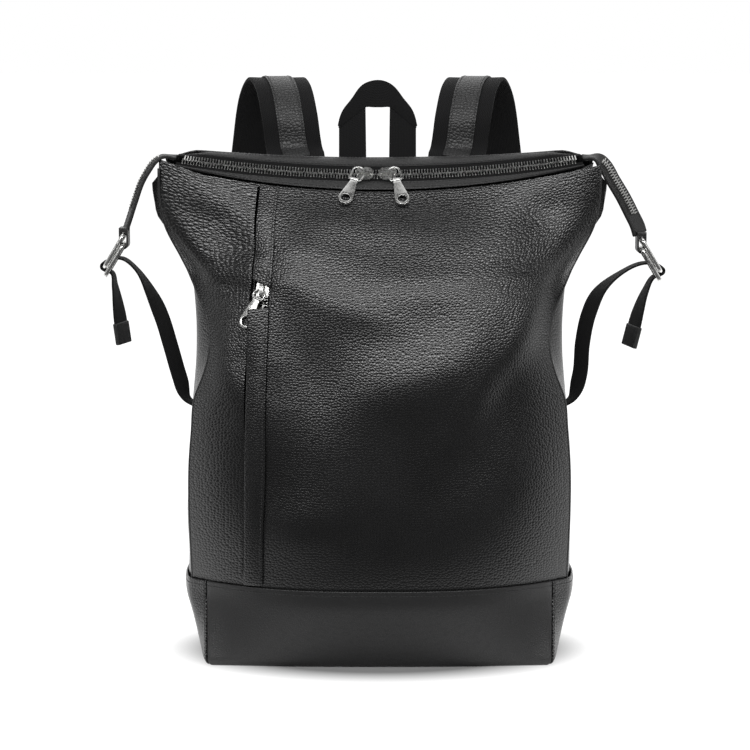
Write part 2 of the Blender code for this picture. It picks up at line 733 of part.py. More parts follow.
# Main zip
def make_zip():
    angles = spread(-ZIP_END_ANGLE, ZIP_END_ANGLE, 27)
    lift = TAPE_THICKNESS / 2 + FACING_THICKNESS / 2
    front_tape = []
    back_tape = []
    front = []
    back = []
    for angle in angles:
        u = angle / ZIP_END_ANGLE
        front_tape.append([zip_point(angle, -TAPE_INNER), zip_point(angle, -TAPE_OUTER)])
        front.append([zip_point(angle, -FACING_INNER, lift),
                      zip_point(angle, FRONT_SEAM - swell(FRONT_MARGIN, u), lift)])
        margin = swell(BACK_MARGIN, u)
        back_tape.append([behind_chain(angle, reach, end_fold(u) * reach / margin, 0)
                          for reach in (TAPE_INNER, TAPE_OUTER)])
        back.append([behind_chain(angle, reach, (BACK_FOLD + end_fold(u)) * reach / margin, lift)
                     for reach in spread(FACING_INNER, margin - BACK_SEAM, 3)])
    sheet("zip_tape_front", front_tape, TAPE_THICKNESS, 0, "zip_tape")
    sheet("zip_tape_back", back_tape, TAPE_THICKNESS, 0, "zip_tape")
    make_teeth("zip_teeth_front", -1)
    make_teeth("zip_teeth_back", 1)
    sheet("zip_facing_front", front, FACING_THICKNESS, 0, "smooth_leather")
    sheet("zip_facing_back", back, FACING_THICKNESS, 0, "smooth_leather")


def make_teeth(name, sign):
    """One row of zip teeth on its bead, as a comb along the arc."""
    half = ZIP_END_ANGLE - 2 * TOOTH_PITCH / ZIP_RADIUS
    count = int(2 * half * ZIP_RADIUS / TOOTH_PITCH)
    phase = 0.25 * sign
    outline = []
    for i in range(count):
        angle = (i - count / 2 + 0.5 + phase) * TOOTH_PITCH / ZIP_RADIUS
        outline.append((angle - 0.25 * TOOTH_PITCH / ZIP_RADIUS, TOOTH_VALLEY))
        outline.append((angle + 0.25 * TOOTH_PITCH / ZIP_RADIUS, TOOTH_TIP))
    first = outline[0][0]
    last = outline[-1][0]
    outline += [(angle, TOOTH_ROOT) for angle in spread(last, first, 20)]
    flat = []
    for angle, inward in outline:
        radius = ZIP_RADIUS - sign * inward
        flat.append((radius * math.sin(angle), ZIP_RADIUS - radius * math.cos(angle)))
    mesh = block_mesh(name, flat, -TOOTH_HALF_HEIGHT, TOOTH_HALF_HEIGHT)
    keep(name, mesh, "nickel", zip_frame(0))


# Sliders and pulls
def make_slider(name, frame, parent, outward):
    """A slider: two plates on a wedge, channels for the teeth, slits for the tape, and a bridge."""
    half = [(x * outward * MM, y * MM) for x, y in SLIDER_OUTLINE]
    outline = half + [(x, -y) for x, y in reversed(half)]
    mesh = block_mesh(name, outline, -SLIDER_HALF_HEIGHT, SLIDER_HALF_HEIGHT)
    item = keep(name, mesh, "nickel", frame, parent)
    bpy.context.view_layer.update()
    reach = SLIDER_LENGTH
    for side in (-1, 1):
        channel = box_outline(-reach, reach, *sorted((side * WEDGE_HALF, side * CHANNEL_OUTER)))
        item = reshape(item, block_mesh("channel", channel, -CHANNEL_HALF_HEIGHT, CHANNEL_HALF_HEIGHT),
                       "DIFFERENCE")
        slit = box_outline(-reach, reach, *sorted((side * 4 * MM, side * 9 * MM)))
        item = reshape(item, block_mesh("slit", slit, -TAPE_SLIT_HALF, TAPE_SLIT_HALF), "DIFFERENCE")
    long, post = BRIDGE_HALF_LENGTH, BRIDGE_POST
    low = SLIDER_HALF_HEIGHT - 0.3 * MM
    arch = [(-long, low), (-long, BRIDGE_TOP - MM), (-long + MM, BRIDGE_TOP), (long - MM, BRIDGE_TOP),
            (long, BRIDGE_TOP - MM), (long, low), (long - post, low), (long - post, BRIDGE_UNDER),
            (post - long, BRIDGE_UNDER), (post - long, low)]
    bridge = block_mesh("bridge", arch, -BRIDGE_HALF_WIDTH, BRIDGE_HALF_WIDTH)
    stand = item.matrix_world @ Matrix.Rotation(math.radians(90), 4, "X")
    return reshape(item, bridge, "UNION", stand)


def make_link(name, matrix, parent, crown):
    """A closed wire loop, hung from its crown and straight where it runs through the pull."""
    half = LINK_HALF_WIDTH
    drop = -LINK_DROP
    outline = arc((0, crown - half), half, 0, 180, 9)
    outline += arc((-half + 1.5 * MM, drop + 1.5 * MM), 1.5 * MM, 180, 270, 4)
    outline += arc((half - 1.5 * MM, drop + 1.5 * MM), 1.5 * MM, 270, 360, 4)
    return wire(name, [(x, y, 0) for x, y in outline], LINK_WIRE, "nickel", matrix, parent)


def make_pull(name, matrix, parent):
    """A tear-drop tab with a barrel for the link and a large hole at its foot."""
    foot = (0, -PULL_LENGTH)
    outline = [(PULL_NECK_HALF, 0), (-PULL_NECK_HALF, 0), (-PULL_NECK_HALF, -4 * MM)]
    outline += arc(foot, PULL_END_RADIUS, 170, 370, 15)
    outline += [(PULL_NECK_HALF, -4 * MM)]
    hole = arc(foot, PULL_HOLE_RADIUS, 0, 337.5, 16)
    item = flat_outline(name, [outline, hole], PULL_THICKNESS, "nickel", matrix, parent)
    bpy.context.view_layer.update()
    item = as_mesh(item)
    item = reshape(item, rod_mesh("barrel", PULL_BARREL, PULL_NECK_HALF), "UNION")
    return reshape(item, rod_mesh("bore", PULL_BORE, 2 * PULL_NECK_HALF), "DIFFERENCE")


def make_main_sliders():
    for name, side in SIDES.items():
        angle = math.asin(SLIDER_REST_X[name] / ZIP_RADIUS)
        axis = joint_empty("slider_axis_" + name, Matrix.Translation(ZIP_CENTRE))
        frame = zip_frame(angle)
        make_slider("main_slider_" + name, frame, axis, side)
        post = side * (BRIDGE_HALF_LENGTH - BRIDGE_POST / 2)
        hang = frame @ Matrix.Translation((post, 0, LINK_HEIGHT)) @ Matrix.Rotation(LINK_TILT[name], 4, "Z")
        make_link("main_link_" + name, hang, axis, LINK_HALF_WIDTH)
        lifted = Matrix.Rotation(-PULL_REST_LIFT, 4, "X")
        make_pull("main_pull_" + name, hang @ Matrix.Translation((0, -LINK_DROP, 0)) @ lifted, axis)


def make_pocket_slider():
    axis = joint_empty("pocket_axis", Matrix.Translation(POCKET_CENTRE))
    make_slider("pocket_slider", POCKET_REST_FRAME, axis, 1)
    hang = POCKET_REST_FRAME @ Matrix.Translation((0, 0, LINK_HEIGHT))
    hang = hang @ Matrix.Rotation(math.radians(-90) + POCKET_LINK_TILT, 4, "Z")
    hang = hang @ Matrix.Rotation(-POCKET_LINK_LIFT, 4, "X")
    make_link("pocket_link", hang, axis, 0.0)
    level = Matrix.Rotation(POCKET_LINK_LIFT, 4, "X")
    make_pull("pocket_pull", hang @ Matrix.Translation((0, -LINK_DROP, 0)) @ level, axis)


# Front pocket
def make_pocket():
    angles = spread(POCKET_FOOT_ANGLE + POCKET_TRIM, POCKET_TOP_ANGLE - POCKET_TRIM, 12)
    for name, side in (("left", 1), ("right", -1)):
        rows = [[pocket_point(a, side * TAPE_INNER, 0), pocket_point(a, side * POCKET_TAPE_OUTER, 0)]
                for a in angles]
        sheet("pocket_tape_" + name, rows, TAPE_THICKNESS, 0, "zip_tape")
        rows = [[pocket_point(a, side * TOOTH_TIP, 0), pocket_point(a, side * TOOTH_ROOT, 0)] for a in angles]
        sheet("pocket_teeth_" + name, rows, 2 * TOOTH_HALF_HEIGHT, 0, "nickel")
    place_strip("placket_upper", NOTCH_TOP_Z, None)
    place_strip("placket_lower", PLACKET_FOOT_Z, NOTCH_FOOT_Z)
    levels = spread(95 * MM, 345 * MM, 8)
    rows = []
    for z in levels:
        rows.append([front_point(u, z) - front_normal(u, z) * (LEATHER + POCKET_BAG_DEPTH)
                     for u in spread(-0.74, 0.5, 9)])
    sheet("pocket_bag", rows, LINING_THICKNESS, -1, "lining")


def place_strip(name, low, high):
    """The pocket's leather strip: sewn along its right edge, standing free along its left."""
    top = PANEL_TOP_Z - 2 * MM if high is None else high
    rows = []
    for z in spread(low, top, 12):
        row = []
        lean = math.tan(POCKET_LEAN) * (z - POCKET_REST[1])
        flap = PLACKET_FLAP[0] + PLACKET_FLAP[1] * smoothstep(NOTCH_FOOT_Z - FLAP_REACH, NOTCH_FOOT_Z, z)
        if high is None:
            flap = PLACKET_FLAP[0] * (1 - smoothstep(*FLAT_TOP_Z, z))
        for part in (-1, 0, 1):
            u = (POCKET_REST[0] + lean - part * PLACKET_HALF_WIDTH) / front_half_width(z)
            lift = GAP + PLACKET_LEATHER / 2 + flap * (part + 1) / 2
            row.append(front_point(u, z) + front_normal(u, z) * lift)
        rows.append(row)
    sheet(name, rows, PLACKET_LEATHER, 0, "pebbled_leather")


# Zip tails, ring buckles and side webbing
def make_tail(name):
    twist = TAIL_TWIST[name]
    side = SIDES[name]

    def across(part):
        turned = X_AXIS * side * math.sin(twist) + Y_AXIS * math.cos(twist)
        return ZIP_UP.lerp(turned, smoothstep(*TAIL_TURN, part))

    centres = along(millimetres(TAIL_ROUTE[name]), 13)
    ribbon("zip_tail_" + name, centres, across, TAIL_WIDTH, TAIL_THICKNESS, "smooth_leather")
    lifted = []
    for place, point in enumerate(centres[:-1]):
        tangent = (centres[place + 1] - point).normalized()
        out = tangent.cross(across(place / (len(centres) - 1))).normalized()
        out = out if out.dot(ZIP_OUT + X_AXIS * side) > 0 else -out
        lifted.append(point + out * (TAIL_THICKNESS / 2 + GAP + 0.8 * MM))
    ribbon("tail_teeth_" + name, lifted, across, 2 * TOOTH_ROOT, 1.6 * MM, "nickel")


def ring_outline():
    """A squared D: a straight bar on the hinge line and a bow with round corners."""
    half = RING_HALF_WIDTH
    bar = 3 * MM
    outline = arc((-half + bar, bar), bar, 270, 180, 4)
    outline += arc((-half + RING_CORNER, RING_REACH - RING_CORNER), RING_CORNER, 180, 90, 6)
    outline += arc((half - RING_CORNER, RING_REACH - RING_CORNER), RING_CORNER, 90, 0, 6)
    outline += arc((half - bar, bar), bar, 0, -90, 4)
    return outline


def make_buckle(name):
    """A leather loop on the tail's end, and the two rings that hang in it."""
    side = SIDES[name]
    place = Vector(BUCKLE_PLACE[name]) * MM
    across = -Y_AXIS
    reach = X_AXIS * side * math.cos(RING_SLOPE) - Z_AXIS * math.sin(RING_SLOPE)
    for ring, sign in (("upper", 1), ("lower", -1)):
        origin = place + Z_AXIS * sign * RING_SPACING / 2
        matrix = frame_matrix(origin, across, reach, across.cross(reach))
        wire("ring_%s_%s" % (ring, name), [(x, y, 0) for x, y in ring_outline()], RING_WIRE, "nickel", matrix)
    hole_half = RING_WIRE + 0.7 * MM
    hole_top = RING_SPACING / 2
    outer_half = hole_half + LOOP_WALL
    hole = arc((0, hole_top), hole_half, 0, 180, 7) + arc((0, -hole_top), hole_half, 180, 360, 7)
    outer = [(outer_half, hole_top + LOOP_NECK), (-outer_half, hole_top + LOOP_NECK)]
    outer += arc((0, -hole_top), outer_half, 180, 360, 9)
    upright = frame_matrix(place, X_AXIS, Z_AXIS, -Y_AXIS)
    flat_outline("tail_loop_" + name, [outer, hole], 2 * LOOP_HALF_WIDTH, "smooth_leather", upright)


def make_side_strap(name):
    """Webbing from the bag's side, through both rings, back round the upper one and hanging free."""
    side = SIDES[name]
    place = Vector(BUCKLE_PLACE[name]) * MM
    reach = X_AXIS * side * math.cos(RING_SLOPE) - Z_AXIS * math.sin(RING_SLOPE)
    ring_end = place + Z_AXIS * RING_SPACING / 2 + reach * RING_REACH
    turn = RING_WIRE + WEBBING / 2 + RING_PLAY
    points = millimetres(SIDE_ROUTE[name])
    for degrees in (80, 20, -30, -80):
        angle = math.radians(degrees)
        points.append(ring_end + X_AXIS * side * turn * math.cos(angle) + Z_AXIS * turn * math.sin(angle))
    points.append(ring_end + Vector((-side * 5.5 * MM, 0, -6.5 * MM)))
    points += millimetres(TAIL_END_ROUTE[name])
    centres = along(points, 40)

    def across(part):
        start, far = SIDE_TWIST
        turn = start * smoothstep(0, 0.12, part) * (1 - smoothstep(0.25, 0.5, part))
        turn += far * smoothstep(0.78, 1, part)
        return Y_AXIS * math.cos(turn) - X_AXIS * side * math.sin(turn)

    ribbon("side_strap_" + name, centres, across, SIDE_WEBBING, WEBBING, "webbing")
    end = centres[-1]
    down = (centres[-1] - centres[-2]).normalized()
    tip = [end + down * (GAP + TIP_LENGTH * i / 3) for i in range(4)]
    tip_width = SIDE_WEBBING + MM
    ribbon("strap_tip_" + name, tip, lambda part: across(1), tip_width, TIP_THICKNESS, "smooth_leather")


# Handle and shoulder straps
def make_handle():
    outline = [(x * MM, y * MM) for x, y in HANDLE_OUTLINE]
    hole = [(x * MM, y * MM) for x, y in HANDLE_HOLE]
    loop = outline + list(reversed(hole))
    upright = frame_matrix(HANDLE_BASE, X_AXIS, Z_AXIS, -Y_AXIS)
    lean = upright @ Matrix.Rotation(HANDLE_LEAN, 4, "X")
    flat_outline("carry_handle", [loop], HANDLE_THICKNESS, "webbing", lean)
    left = HANDLE_OUTLINE[0][0] * MM
    right = HANDLE_OUTLINE[-1][0] * MM
    rows = []
    for z in spread(*HANDLE_ROOT_Z, 3):
        edges = [x / back_half_width(z) for x in (left, right)]
        rows.append([back_point(u, z) + back_normal(u, z) * STRAP_STAND_OFF for u in spread(*edges, 4)])
    sheet("handle_root", rows, HANDLE_THICKNESS, -1, "webbing")


def strap_centres(side, shift):
    """From the yoke up over the shoulder arch and down to the linking ring."""
    points = []
    for z in spread(STRAP_FOOT_Z, PANEL_TOP_Z - 6 * MM, 5):
        u = side * STRAP_FOOT_X / back_half_width(z)
        stand = STRAP_STAND_OFF + STRAP_THICKNESS / 2
        points.append(back_point(u, z) + back_normal(u, z) * stand)
    points += [Vector((side * x, y, z)) * MM for x, y, z in STRAP_ROUTE]
    return along([point + X_AXIS * shift for point in points], 34)


def make_shoulder_strap(name):
    side = SIDES[name]
    centres = strap_centres(side, STRAP_SHIFT[name])
    foot = side * STRAP_FOOT_X / back_half_width(PANEL_TOP_Z)
    flat = (back_point(foot + 0.02, PANEL_TOP_Z) - back_point(foot - 0.02, PANEL_TOP_Z)).normalized()
    lean = Vector((1, STRAP_LEAN * side, 0))

    def across(part):
        return flat.lerp(lean, smoothstep(0.12, 0.3, part))

    ribbon("shoulder_strap_" + name, centres, across, STRAP_WIDTH, STRAP_THICKNESS, "webbing")
    strip = []
    last = len(centres) - 1
    places = range(STRIP_START, last)
    for place in places:
        tangent = (centres[place + 1] - centres[place - 1]).normalized()
        out = across(place / last).cross(tangent).normalized()
        strip.append(centres[place] + out * (STRAP_THICKNESS / 2 + 3 * GAP + STRIP_THICKNESS / 2))
    start = STRIP_START / last
    reach = (len(places) - 1) / last
    ribbon("strap_leather_" + name, strip, lambda part: across(start + part * reach), STRIP_WIDTH,
           STRIP_THICKNESS, "pebbled_leather")
    end = centres[-1]
    down = (centres[-1] - centres[-2]).normalized()
    bar = end + down * (LINKING_RING_WIRE + GAP)
    half = STRAP_WIDTH / 2 + 3 * MM
    long = 16 * MM
    corner = 3 * MM
    outline = arc((half - corner, -corner), corner, 0, 90, 4)
    outline += arc((corner - half, -corner), corner, 90, 180, 4)
    outline += arc((corner - half, corner - long), corner, 180, 270, 4)
    outline += arc((half - corner, corner - long), corner, 270, 360, 4)
    up = -down
    wide = (X_AXIS - up * X_AXIS.dot(up)).normalized()
    matrix = frame_matrix(bar, wide, up, wide.cross(up))
    wire("linking_ring_" + name, [(x, y, 0) for x, y in outline], LINKING_RING_WIRE, "nickel", matrix)
    start = bar + down * (long + LINKING_RING_WIRE + 3 * GAP)
    tab = []
    for z in spread(*TAB_Z, 3):
        u = side * TAB_X / back_half_width(z)
        tab.append(back_point(u, z) + back_normal(u, z) * TAB_STAND_OFF)
        flat = back_point(u + 0.1, z) - back_point(u - 0.1, z)
    ribbon("lower_tab_" + name, tab, lambda part: flat, TAB_WIDTH, TAB_THICKNESS, "smooth_leather")
    middle = Vector((side * LOWER_MIDDLE.x, LOWER_MIDDLE.y, LOWER_MIDDLE.z))
    foot = tab[0] + (tab[0] - tab[1]).normalized() * 5 * GAP
    lower = along([start, middle, foot], 8)
    ribbon("lower_strap_" + name, lower, lambda part: X_AXIS, LOWER_WIDTH, STRAP_THICKNESS, "webbing")


def make_yoke():
    rows = []
    for z in spread(YOKE_Z[0], YOKE_Z[1], 4):
        half = YOKE_HALF_WIDTH / back_half_width(z)
        rows.append([back_point(u, z) + back_normal(u, z) * YOKE_STAND_OFF for u in spread(-half, half, 11)])
    sheet("strap_yoke", rows, LEATHER, -1, "smooth_leather")


def build():
    make_front_panel()
    make_back_panel()
    make_base()
    make_lining()
    make_zip()
    make_main_sliders()
    make_pocket()
    make_pocket_slider()
    make_handle()
    make_yoke()
    for name, side in SIDES.items():
        make_gusset(name, side)
        make_tail(name)
        make_buckle(name)
        make_side_strap(name)
        make_shoulder_strap(name)


build()
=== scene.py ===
"""Looks of the leather backpack: leather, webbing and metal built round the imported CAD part.

Metres, in the CAD frame: +Z up, +X to the right as the front is seen, +Y to the wearer's back.
"""

import math

import bmesh
import bpy
from mathutils import Matrix, Vector, noise


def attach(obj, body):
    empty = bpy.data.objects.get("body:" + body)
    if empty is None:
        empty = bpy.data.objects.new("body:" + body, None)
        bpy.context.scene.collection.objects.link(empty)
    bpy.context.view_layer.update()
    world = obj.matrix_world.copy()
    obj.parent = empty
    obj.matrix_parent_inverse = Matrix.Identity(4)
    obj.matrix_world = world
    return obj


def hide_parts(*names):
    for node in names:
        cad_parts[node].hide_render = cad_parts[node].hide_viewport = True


MM = 0.001
X_AXIS = Vector((1, 0, 0))
Y_AXIS = Vector((0, 1, 0))
Z_AXIS = Vector((0, 0, 1))
SIDES = {"left": -1, "right": 1}

# Body
SEAM_Z = 72 * MM
PANEL_FOOT_Z = 64 * MM
PANEL_TOP_Z = 436 * MM
FOLD_Z = 345 * MM
LEATHER = 2.0 * MM
LINING_INSET = 11.5 * MM
LINING_GUSSET_ROOM = 22 * MM
LINING_SIDES = 96
LINING_THICKNESS = 0.8 * MM
LINING_Z = (12 * MM, 362 * MM)
LINING_RIPPLE = 0.012
LINING_FLOOR_SHARE = 0.86
LINING_DEPTH_SHARE = 0.97
LINING_ROUNDNESS = 0.9
POCKET_BAG_DEPTH = 5.5 * MM
POCKET_BAG_Z = (95 * MM, 345 * MM)
POCKET_BAG_REACH = (-0.74, 0.5)
FRONT_Y = -96.5 * MM
FRONT_BULGE_Z = 165 * MM
FRONT_RADIUS = 545 * MM
FRONT_POWER = 2.7
FRONT_FULLNESS = 7.0
FRONT_EDGE_SLOPE = 3.7 * MM
FRONT_HALF_WIDTH = [(60, 168), (76, 168), (132, 169.5), (175, 169), (206, 166.5), (234, 164),
                    (258, 155), (278, 150), (306, 152.5), (328, 162), (357, 176.5), (384, 190),
                    (408, 194), (436, 194)]
BACK_HALF_WIDTH = [(60, 169), (150, 171), (330, 170), (380, 180), (436, 192)]
BACK_MIDDLE_Y = [(60, 70), (150, 75), (250, 75), (300, 72), (350, 62), (400, 40), (436, 17)]
BACK_EDGE_Y = [(60, 53), (150, 58), (250, 55), (300, 50), (350, 39), (400, 22), (436, 9)]
BACK_POWER = 3.0
GUSSET_X = [(60, 172), (110, 172), (150, 171), (200, 169), (240, 160), (280, 140), (330, 126), (380, 131),
            (410, 148), (436, 180)]
GUSSET_TOP_Z = 431 * MM
GUSSET_LEATHER = 1.6 * MM
GUSSET_GAP = 1.4 * MM
SEAM_LAP = 4 * MM
NEAR_EDGE = 0.99
AT_TUCK = 0.97
FLANGE_Z = (372 * MM, 398 * MM, 421 * MM, 428 * MM)
FLANGE_OUT = 7 * MM

# Each fold and dent of the front: middle x and z, half length, half width (mm), turn (degrees), height (mm).
FRONT_SWELLS = [
    (-163, 357, 59, 13, -46, 5.5),
    (-125, 351, 50, 13, -16, 3.6),
    (-15, 314, 53, 14, -20, 1.2),
    (-75, 211, 90, 36, 65, -4.2),
    (45, 261, 77, 33, 18, 5.5),
    (125, 295, 90, 17, 55, 5.5),
    (-134, 380, 51, 27, -38, -5.5),
    (106, 261, 24, 36, -14, -5.5),
    (156, 347, 71, 23, 32, 5.5),
    (-11, 372, 86, 23, -12, -2.2),
    (-122, 292, 90, 21, 57, 5.5),
    (-85, 288, 90, 36, -45, -4.9),
    (144, 417, 24, 36, 0, -5.1),
    (85, 189, 80, 36, 30, -3.1),
    (-65, 128, 47, 26, 12, 3.5),
    (147, 312, 90, 36, 30, 5.5),
    (-161, 318, 90, 20, -60, 5.5),
    (63, 337, 90, 29, 5, 5.5),
]
GENTLE_WAVE = 0.8 * MM
BACK_WAVE = 1.6 * MM
GUSSET_PUCKER = 2.2 * MM
FOLD_EDGE_POWER = 7
FOLD_FOOT_FADE = 25 * MM
FOLD_TOP_FADE = 40 * MM
FOLD_EASE = (16 * MM, 30 * MM)
CORNER_RISE = 6 * MM
CORNER_START = 0.78
CORNER_DROP = 45 * MM
CALM_Z = (240 * MM, 275 * MM, 345 * MM, 372 * MM)
CALM_REACH = 24 * MM
CALM_SHIFT = 7 * MM
CALM_SHARE = 0.9
WELT_RADIUS = 1.35 * MM
WELT_SINK = 0.9 * MM

# Base band
BASE_SHARE = [(0, 0.0), (4, 0.04), (20, 0.3), (40, 0.65), (58, 1.0), (72, 1.0)]
BASE_HEIGHTS = [0, 0.4, 1.2, 2.4, 4.0, 6, 10, 16, 22, 30, 38, 46, 54, 60, 65, 68.5, 70.8, 72]
BASE_ROUND = 6.0
BASE_LEATHER = 1.8 * MM
BASE_CORNER_X = 152 * MM
BASE_STAND_OFF = 2.9 * MM
BASE_TRIM = 0.6 * MM
BASE_ROLL = 0.8
BASE_STITCH_DROP = 4.2
BASE_INSET = 1.4 * MM
BOTTOM_RINGS = [(0.02, 0.9), (0.6, 0.9), (0.94, 0.9), (0.985, 1.0), (1.0, 1.3)]
BASE_SIDE = [(174.6, -12), (175.4, 20), (173.6, 44)]
BASE_FOOT_FRONT = (-75 * MM, 5 * MM)
BASE_FOOT_BACK = (65 * MM, -4 * MM)
BASE_FOOT_END = [(154.6, -66.5), (157, -52), (159, 0), (157, 46), (154.6, 57)]
BASE_FOOT_SIZE = (159 * MM, 70 * MM)

# Main zip
ZIP_TILT = math.radians(53)
ZIP_RADIUS = 950 * MM
ZIP_MIDDLE = Vector((0, -10 * MM, 430.7 * MM))
ZIP_END_ANGLE = math.radians(10.9)
PANEL_END_ANGLE = math.radians(11.75)
TOOTH_PITCH = 2.55 * MM
TOOTH_ROOT = 2.6 * MM
TOOTH_HALF_HEIGHT = 1.15 * MM
TOOTH_STAGGER = 0.25
TOOTH_PROFILE = [(-3.2, 0.42), (-2.9, 0.54), (-1.9, 0.54), (-0.6, 0.44), (0.9, 0.46), (1.3, 0.54),
                 (1.8, 0.54), (2.1, 0.42)]
TEETH_FOLD_SHARE = 0.35
TAPE_INNER = 3.6 * MM
TAPE_OUTER = 8.0 * MM
TAPE_THICKNESS = 0.8 * MM
FACING_INNER = 8.4 * MM
FACING_THICKNESS = 1.3 * MM
FACING_PUFF = {"front": 0.9 * MM, "back": 0.8 * MM}
FACING_STITCH_LIFT = 0.75 * MM
FRONT_MARGIN = (11 * MM, 8 * MM)
BACK_MARGIN = (12.8 * MM, 13.2 * MM)
BACK_FOLD = math.radians(22.5)
BACK_END_FOLD = math.radians(38)
BACK_END_START = 0.84
FRONT_SEAM = 2.6 * MM
BACK_SEAM = 2.2 * MM
PANEL_EDGE_LIFT = 2.0 * MM

# Sliders, links and pulls
SLIDER_REST_X = {"left": -13.2 * MM, "right": 7.2 * MM}
SLIDER_HALF = [(-7.25, 3.4), (-6.5, 4.7), (-4.8, 6.1), (-2.4, 6.5), (0.5, 6.45), (3.6, 6.1),
               (6.4, 5.6), (7.25, 4.8)]
SLIDER_PLATE = (1.5, 2.9)
SLIDER_WEDGE = [(1.0, -0.42), (5.5, -0.42), (5.5, 0.42), (1.0, 0.42)]
SLIDER_FLANGE = (0.75, 1.7)
FLANGE_WALL = 1.1
BRIDGE_ARCH = [(-6.5, 2.5), (-6.5, 5.2), (-6.0, 6.0), (-5.0, 6.4), (5.0, 6.4), (6.0, 6.0), (6.5, 5.2),
               (6.5, 2.5), (4.9, 2.5), (4.9, 5.1), (-4.9, 5.1), (-4.9, 2.5)]
BRIDGE_HALF_WIDTH = 1.65
LINK_WIRE = 0.8 * MM
LINK_CORNER = 1.5 * MM
LINK_HALF_WIDTH = 5.2 * MM
LINK_DROP = 8.6 * MM
LINK_HEIGHT = 4.0 * MM
LINK_TILT = {"left": math.radians(-20), "right": math.radians(13)}
BRIDGE_POST_X = 5.7 * MM
PULL_REST_LIFT = math.radians(6)
PULL_NECK_HALF = 3.5 * MM
PULL_END_RADIUS = 6.4 * MM
PULL_LENGTH = 22 * MM
PULL_HOLE_RADIUS = 4.0 * MM
PULL_THICKNESS = 1.8 * MM
PULL_TOP = 1.2 * MM
PULL_SIDE = [(PULL_NECK_HALF, -4 * MM), (4.6 * MM, -10 * MM), (5.7 * MM, -16 * MM)]
BARREL_PROFILE = [(-3.5, 1.0), (-3.5, 1.45), (-3.2, 1.75), (3.2, 1.75), (3.5, 1.45), (3.5, 1.0), (-3.5, 1.0)]

# Front pocket
POCKET_REST = (-102.5 * MM, 333 * MM)
POCKET_LEAN = math.radians(2.0)
POCKET_TOP_ANGLE = math.radians(1.3)
POCKET_FOOT_ANGLE = math.radians(-24.5)
POCKET_TRIM = math.radians(0.5)
POCKET_SINK = 3.8 * MM
POCKET_SLOT_HALF = 6.7 * MM
SLOT_Z = (104 * MM, 344 * MM)
PLACKET_HALF_WIDTH = 8.0 * MM
PLACKET_LEATHER = 1.6 * MM
PLACKET_FLAP = (1.6 * MM, 4.0 * MM)
PLACKET_GAP = 0.25 * MM
PLACKET_CROWN = 0.5 * MM
STRIP_STITCH_PLACE = 0.9
STRIP_STITCH_LIFT = 0.05 * MM
STRIP_SIDE = -0.6
POCKET_TAPE_OUTER = 7.9 * MM
FREE_REACH = 30 * MM
FLAP_REACH = 60 * MM
NOTCH_TOP_Z = 341.5 * MM
NOTCH_FOOT_Z = 318 * MM
PLACKET_FOOT_Z = 74 * MM
STRIP_BEND = [(60, 1.3), (150, 0), (230, -1.3), (286, -1.4), (318, -0.9), (343, 0.7), (388, 1.2),
              (425, 3.3), (436, 4)]
NOTCH_TOP_SLOPE = 7 * MM
NOTCH_FOOT_SLOPE = 3 * MM
FLAT_TOP_Z = (385 * MM, 425 * MM)
STRIP_SLIT = (2.4 * MM, 0.2 * MM)
SLIT_ROWS = (4, 2)
POCKET_LINK_TILT = math.radians(-25)
POCKET_LINK_LIFT = math.radians(12)

# Zip tails, ring buckles and side webbing
TAIL_WIDTH = 20 * MM
TAIL_THICKNESS = 3.0 * MM
TAIL_TWIST = {"left": math.radians(14), "right": math.radians(42)}
TAIL_TURN = (-0.2, 0.16)
TAIL_TEETH = (0.2, 0.8)
TAIL_TOOTH_LIFT = 0.9 * MM
TAIL_STITCH_PLACE = 0.38
TAIL_START_SHARE = 0.4
TAIL_START_REACH = 0.24
TAIL_ROUTE = {"left": [(-180, 0.6, 445.5), (-192.5, 3, 446), (-200.5, 4.6, 441), (-205, 4, 435),
                       (-212, 4, 423), (-218, 4, 406.5), (-223.5, 4, 390), (-226.6, 4, 381)],
              "right": [(180, 0.6, 445.5), (192.5, 3, 444.5), (200.5, 4.8, 438), (207.5, 4, 426),
                        (217.5, 4, 409.5), (225, 4, 395), (230, 4, 385), (232.6, 4, 377)]}
BUCKLE_PLACE = {"left": (-227.8, 4, 372.5), "right": (233.5, 4, 368.5)}
RING_WIRE = 1.8 * MM
RING_HALF_WIDTH = 14.8 * MM
RING_REACH = 32.5 * MM
RING_CORNER = 4.4 * MM
RING_BAR_CORNER = 3 * MM
RING_SPACING = 8.5 * MM
RING_PLAY = 1.3 * MM
RING_SLOPE = math.radians(59)
LOOP_HALF_WIDTH = 10 * MM
LOOP_WALL = 1.6 * MM
LOOP_NECK = 6.5 * MM
LOOP_PLAY = 0.7 * MM
SIDE_WEBBING = 20 * MM
WEBBING = 1.6 * MM
SIDE_ROUTE = {"left": [(-164.5, 9, 221), (-173.5, 7, 229), (-180, 6, 248), (-187.5, 4, 276), (-195, 3, 302),
                       (-204.4, 3, 324), (-217.5, 3, 346), (-230, 3, 355.5)],
              "right": [(164.5, 9, 221), (173.5, 7, 229), (180.4, 6, 250), (182.5, 4, 279.5), (187.5, 3, 305),
                        (196.5, 3, 325), (213, 3, 340.5), (235.5, 3, 351.2)]}
TAIL_END_ROUTE = {"left": [(-236.8, 3, 331), (-234.3, 3, 314), (-232, 3, 297)],
                  "right": [(238, 3, 326), (232, 3, 308), (228.5, 3, 294)]}
BEHIND_RING = (5.5 * MM, 6.5 * MM)
SIDE_TWIST = (math.radians(34), math.radians(27))
SIDE_TWIST_START = (0, 0.12)
SIDE_TWIST_FADE = (0.4, 0.62)
SIDE_TWIST_END = (0.78, 1)
TIP_LENGTH = 19.5 * MM
TIP_THICKNESS = 4.4 * MM
TIP_LAP = 1.0 * MM
TIP_STITCH_INSET = 2.2 * MM

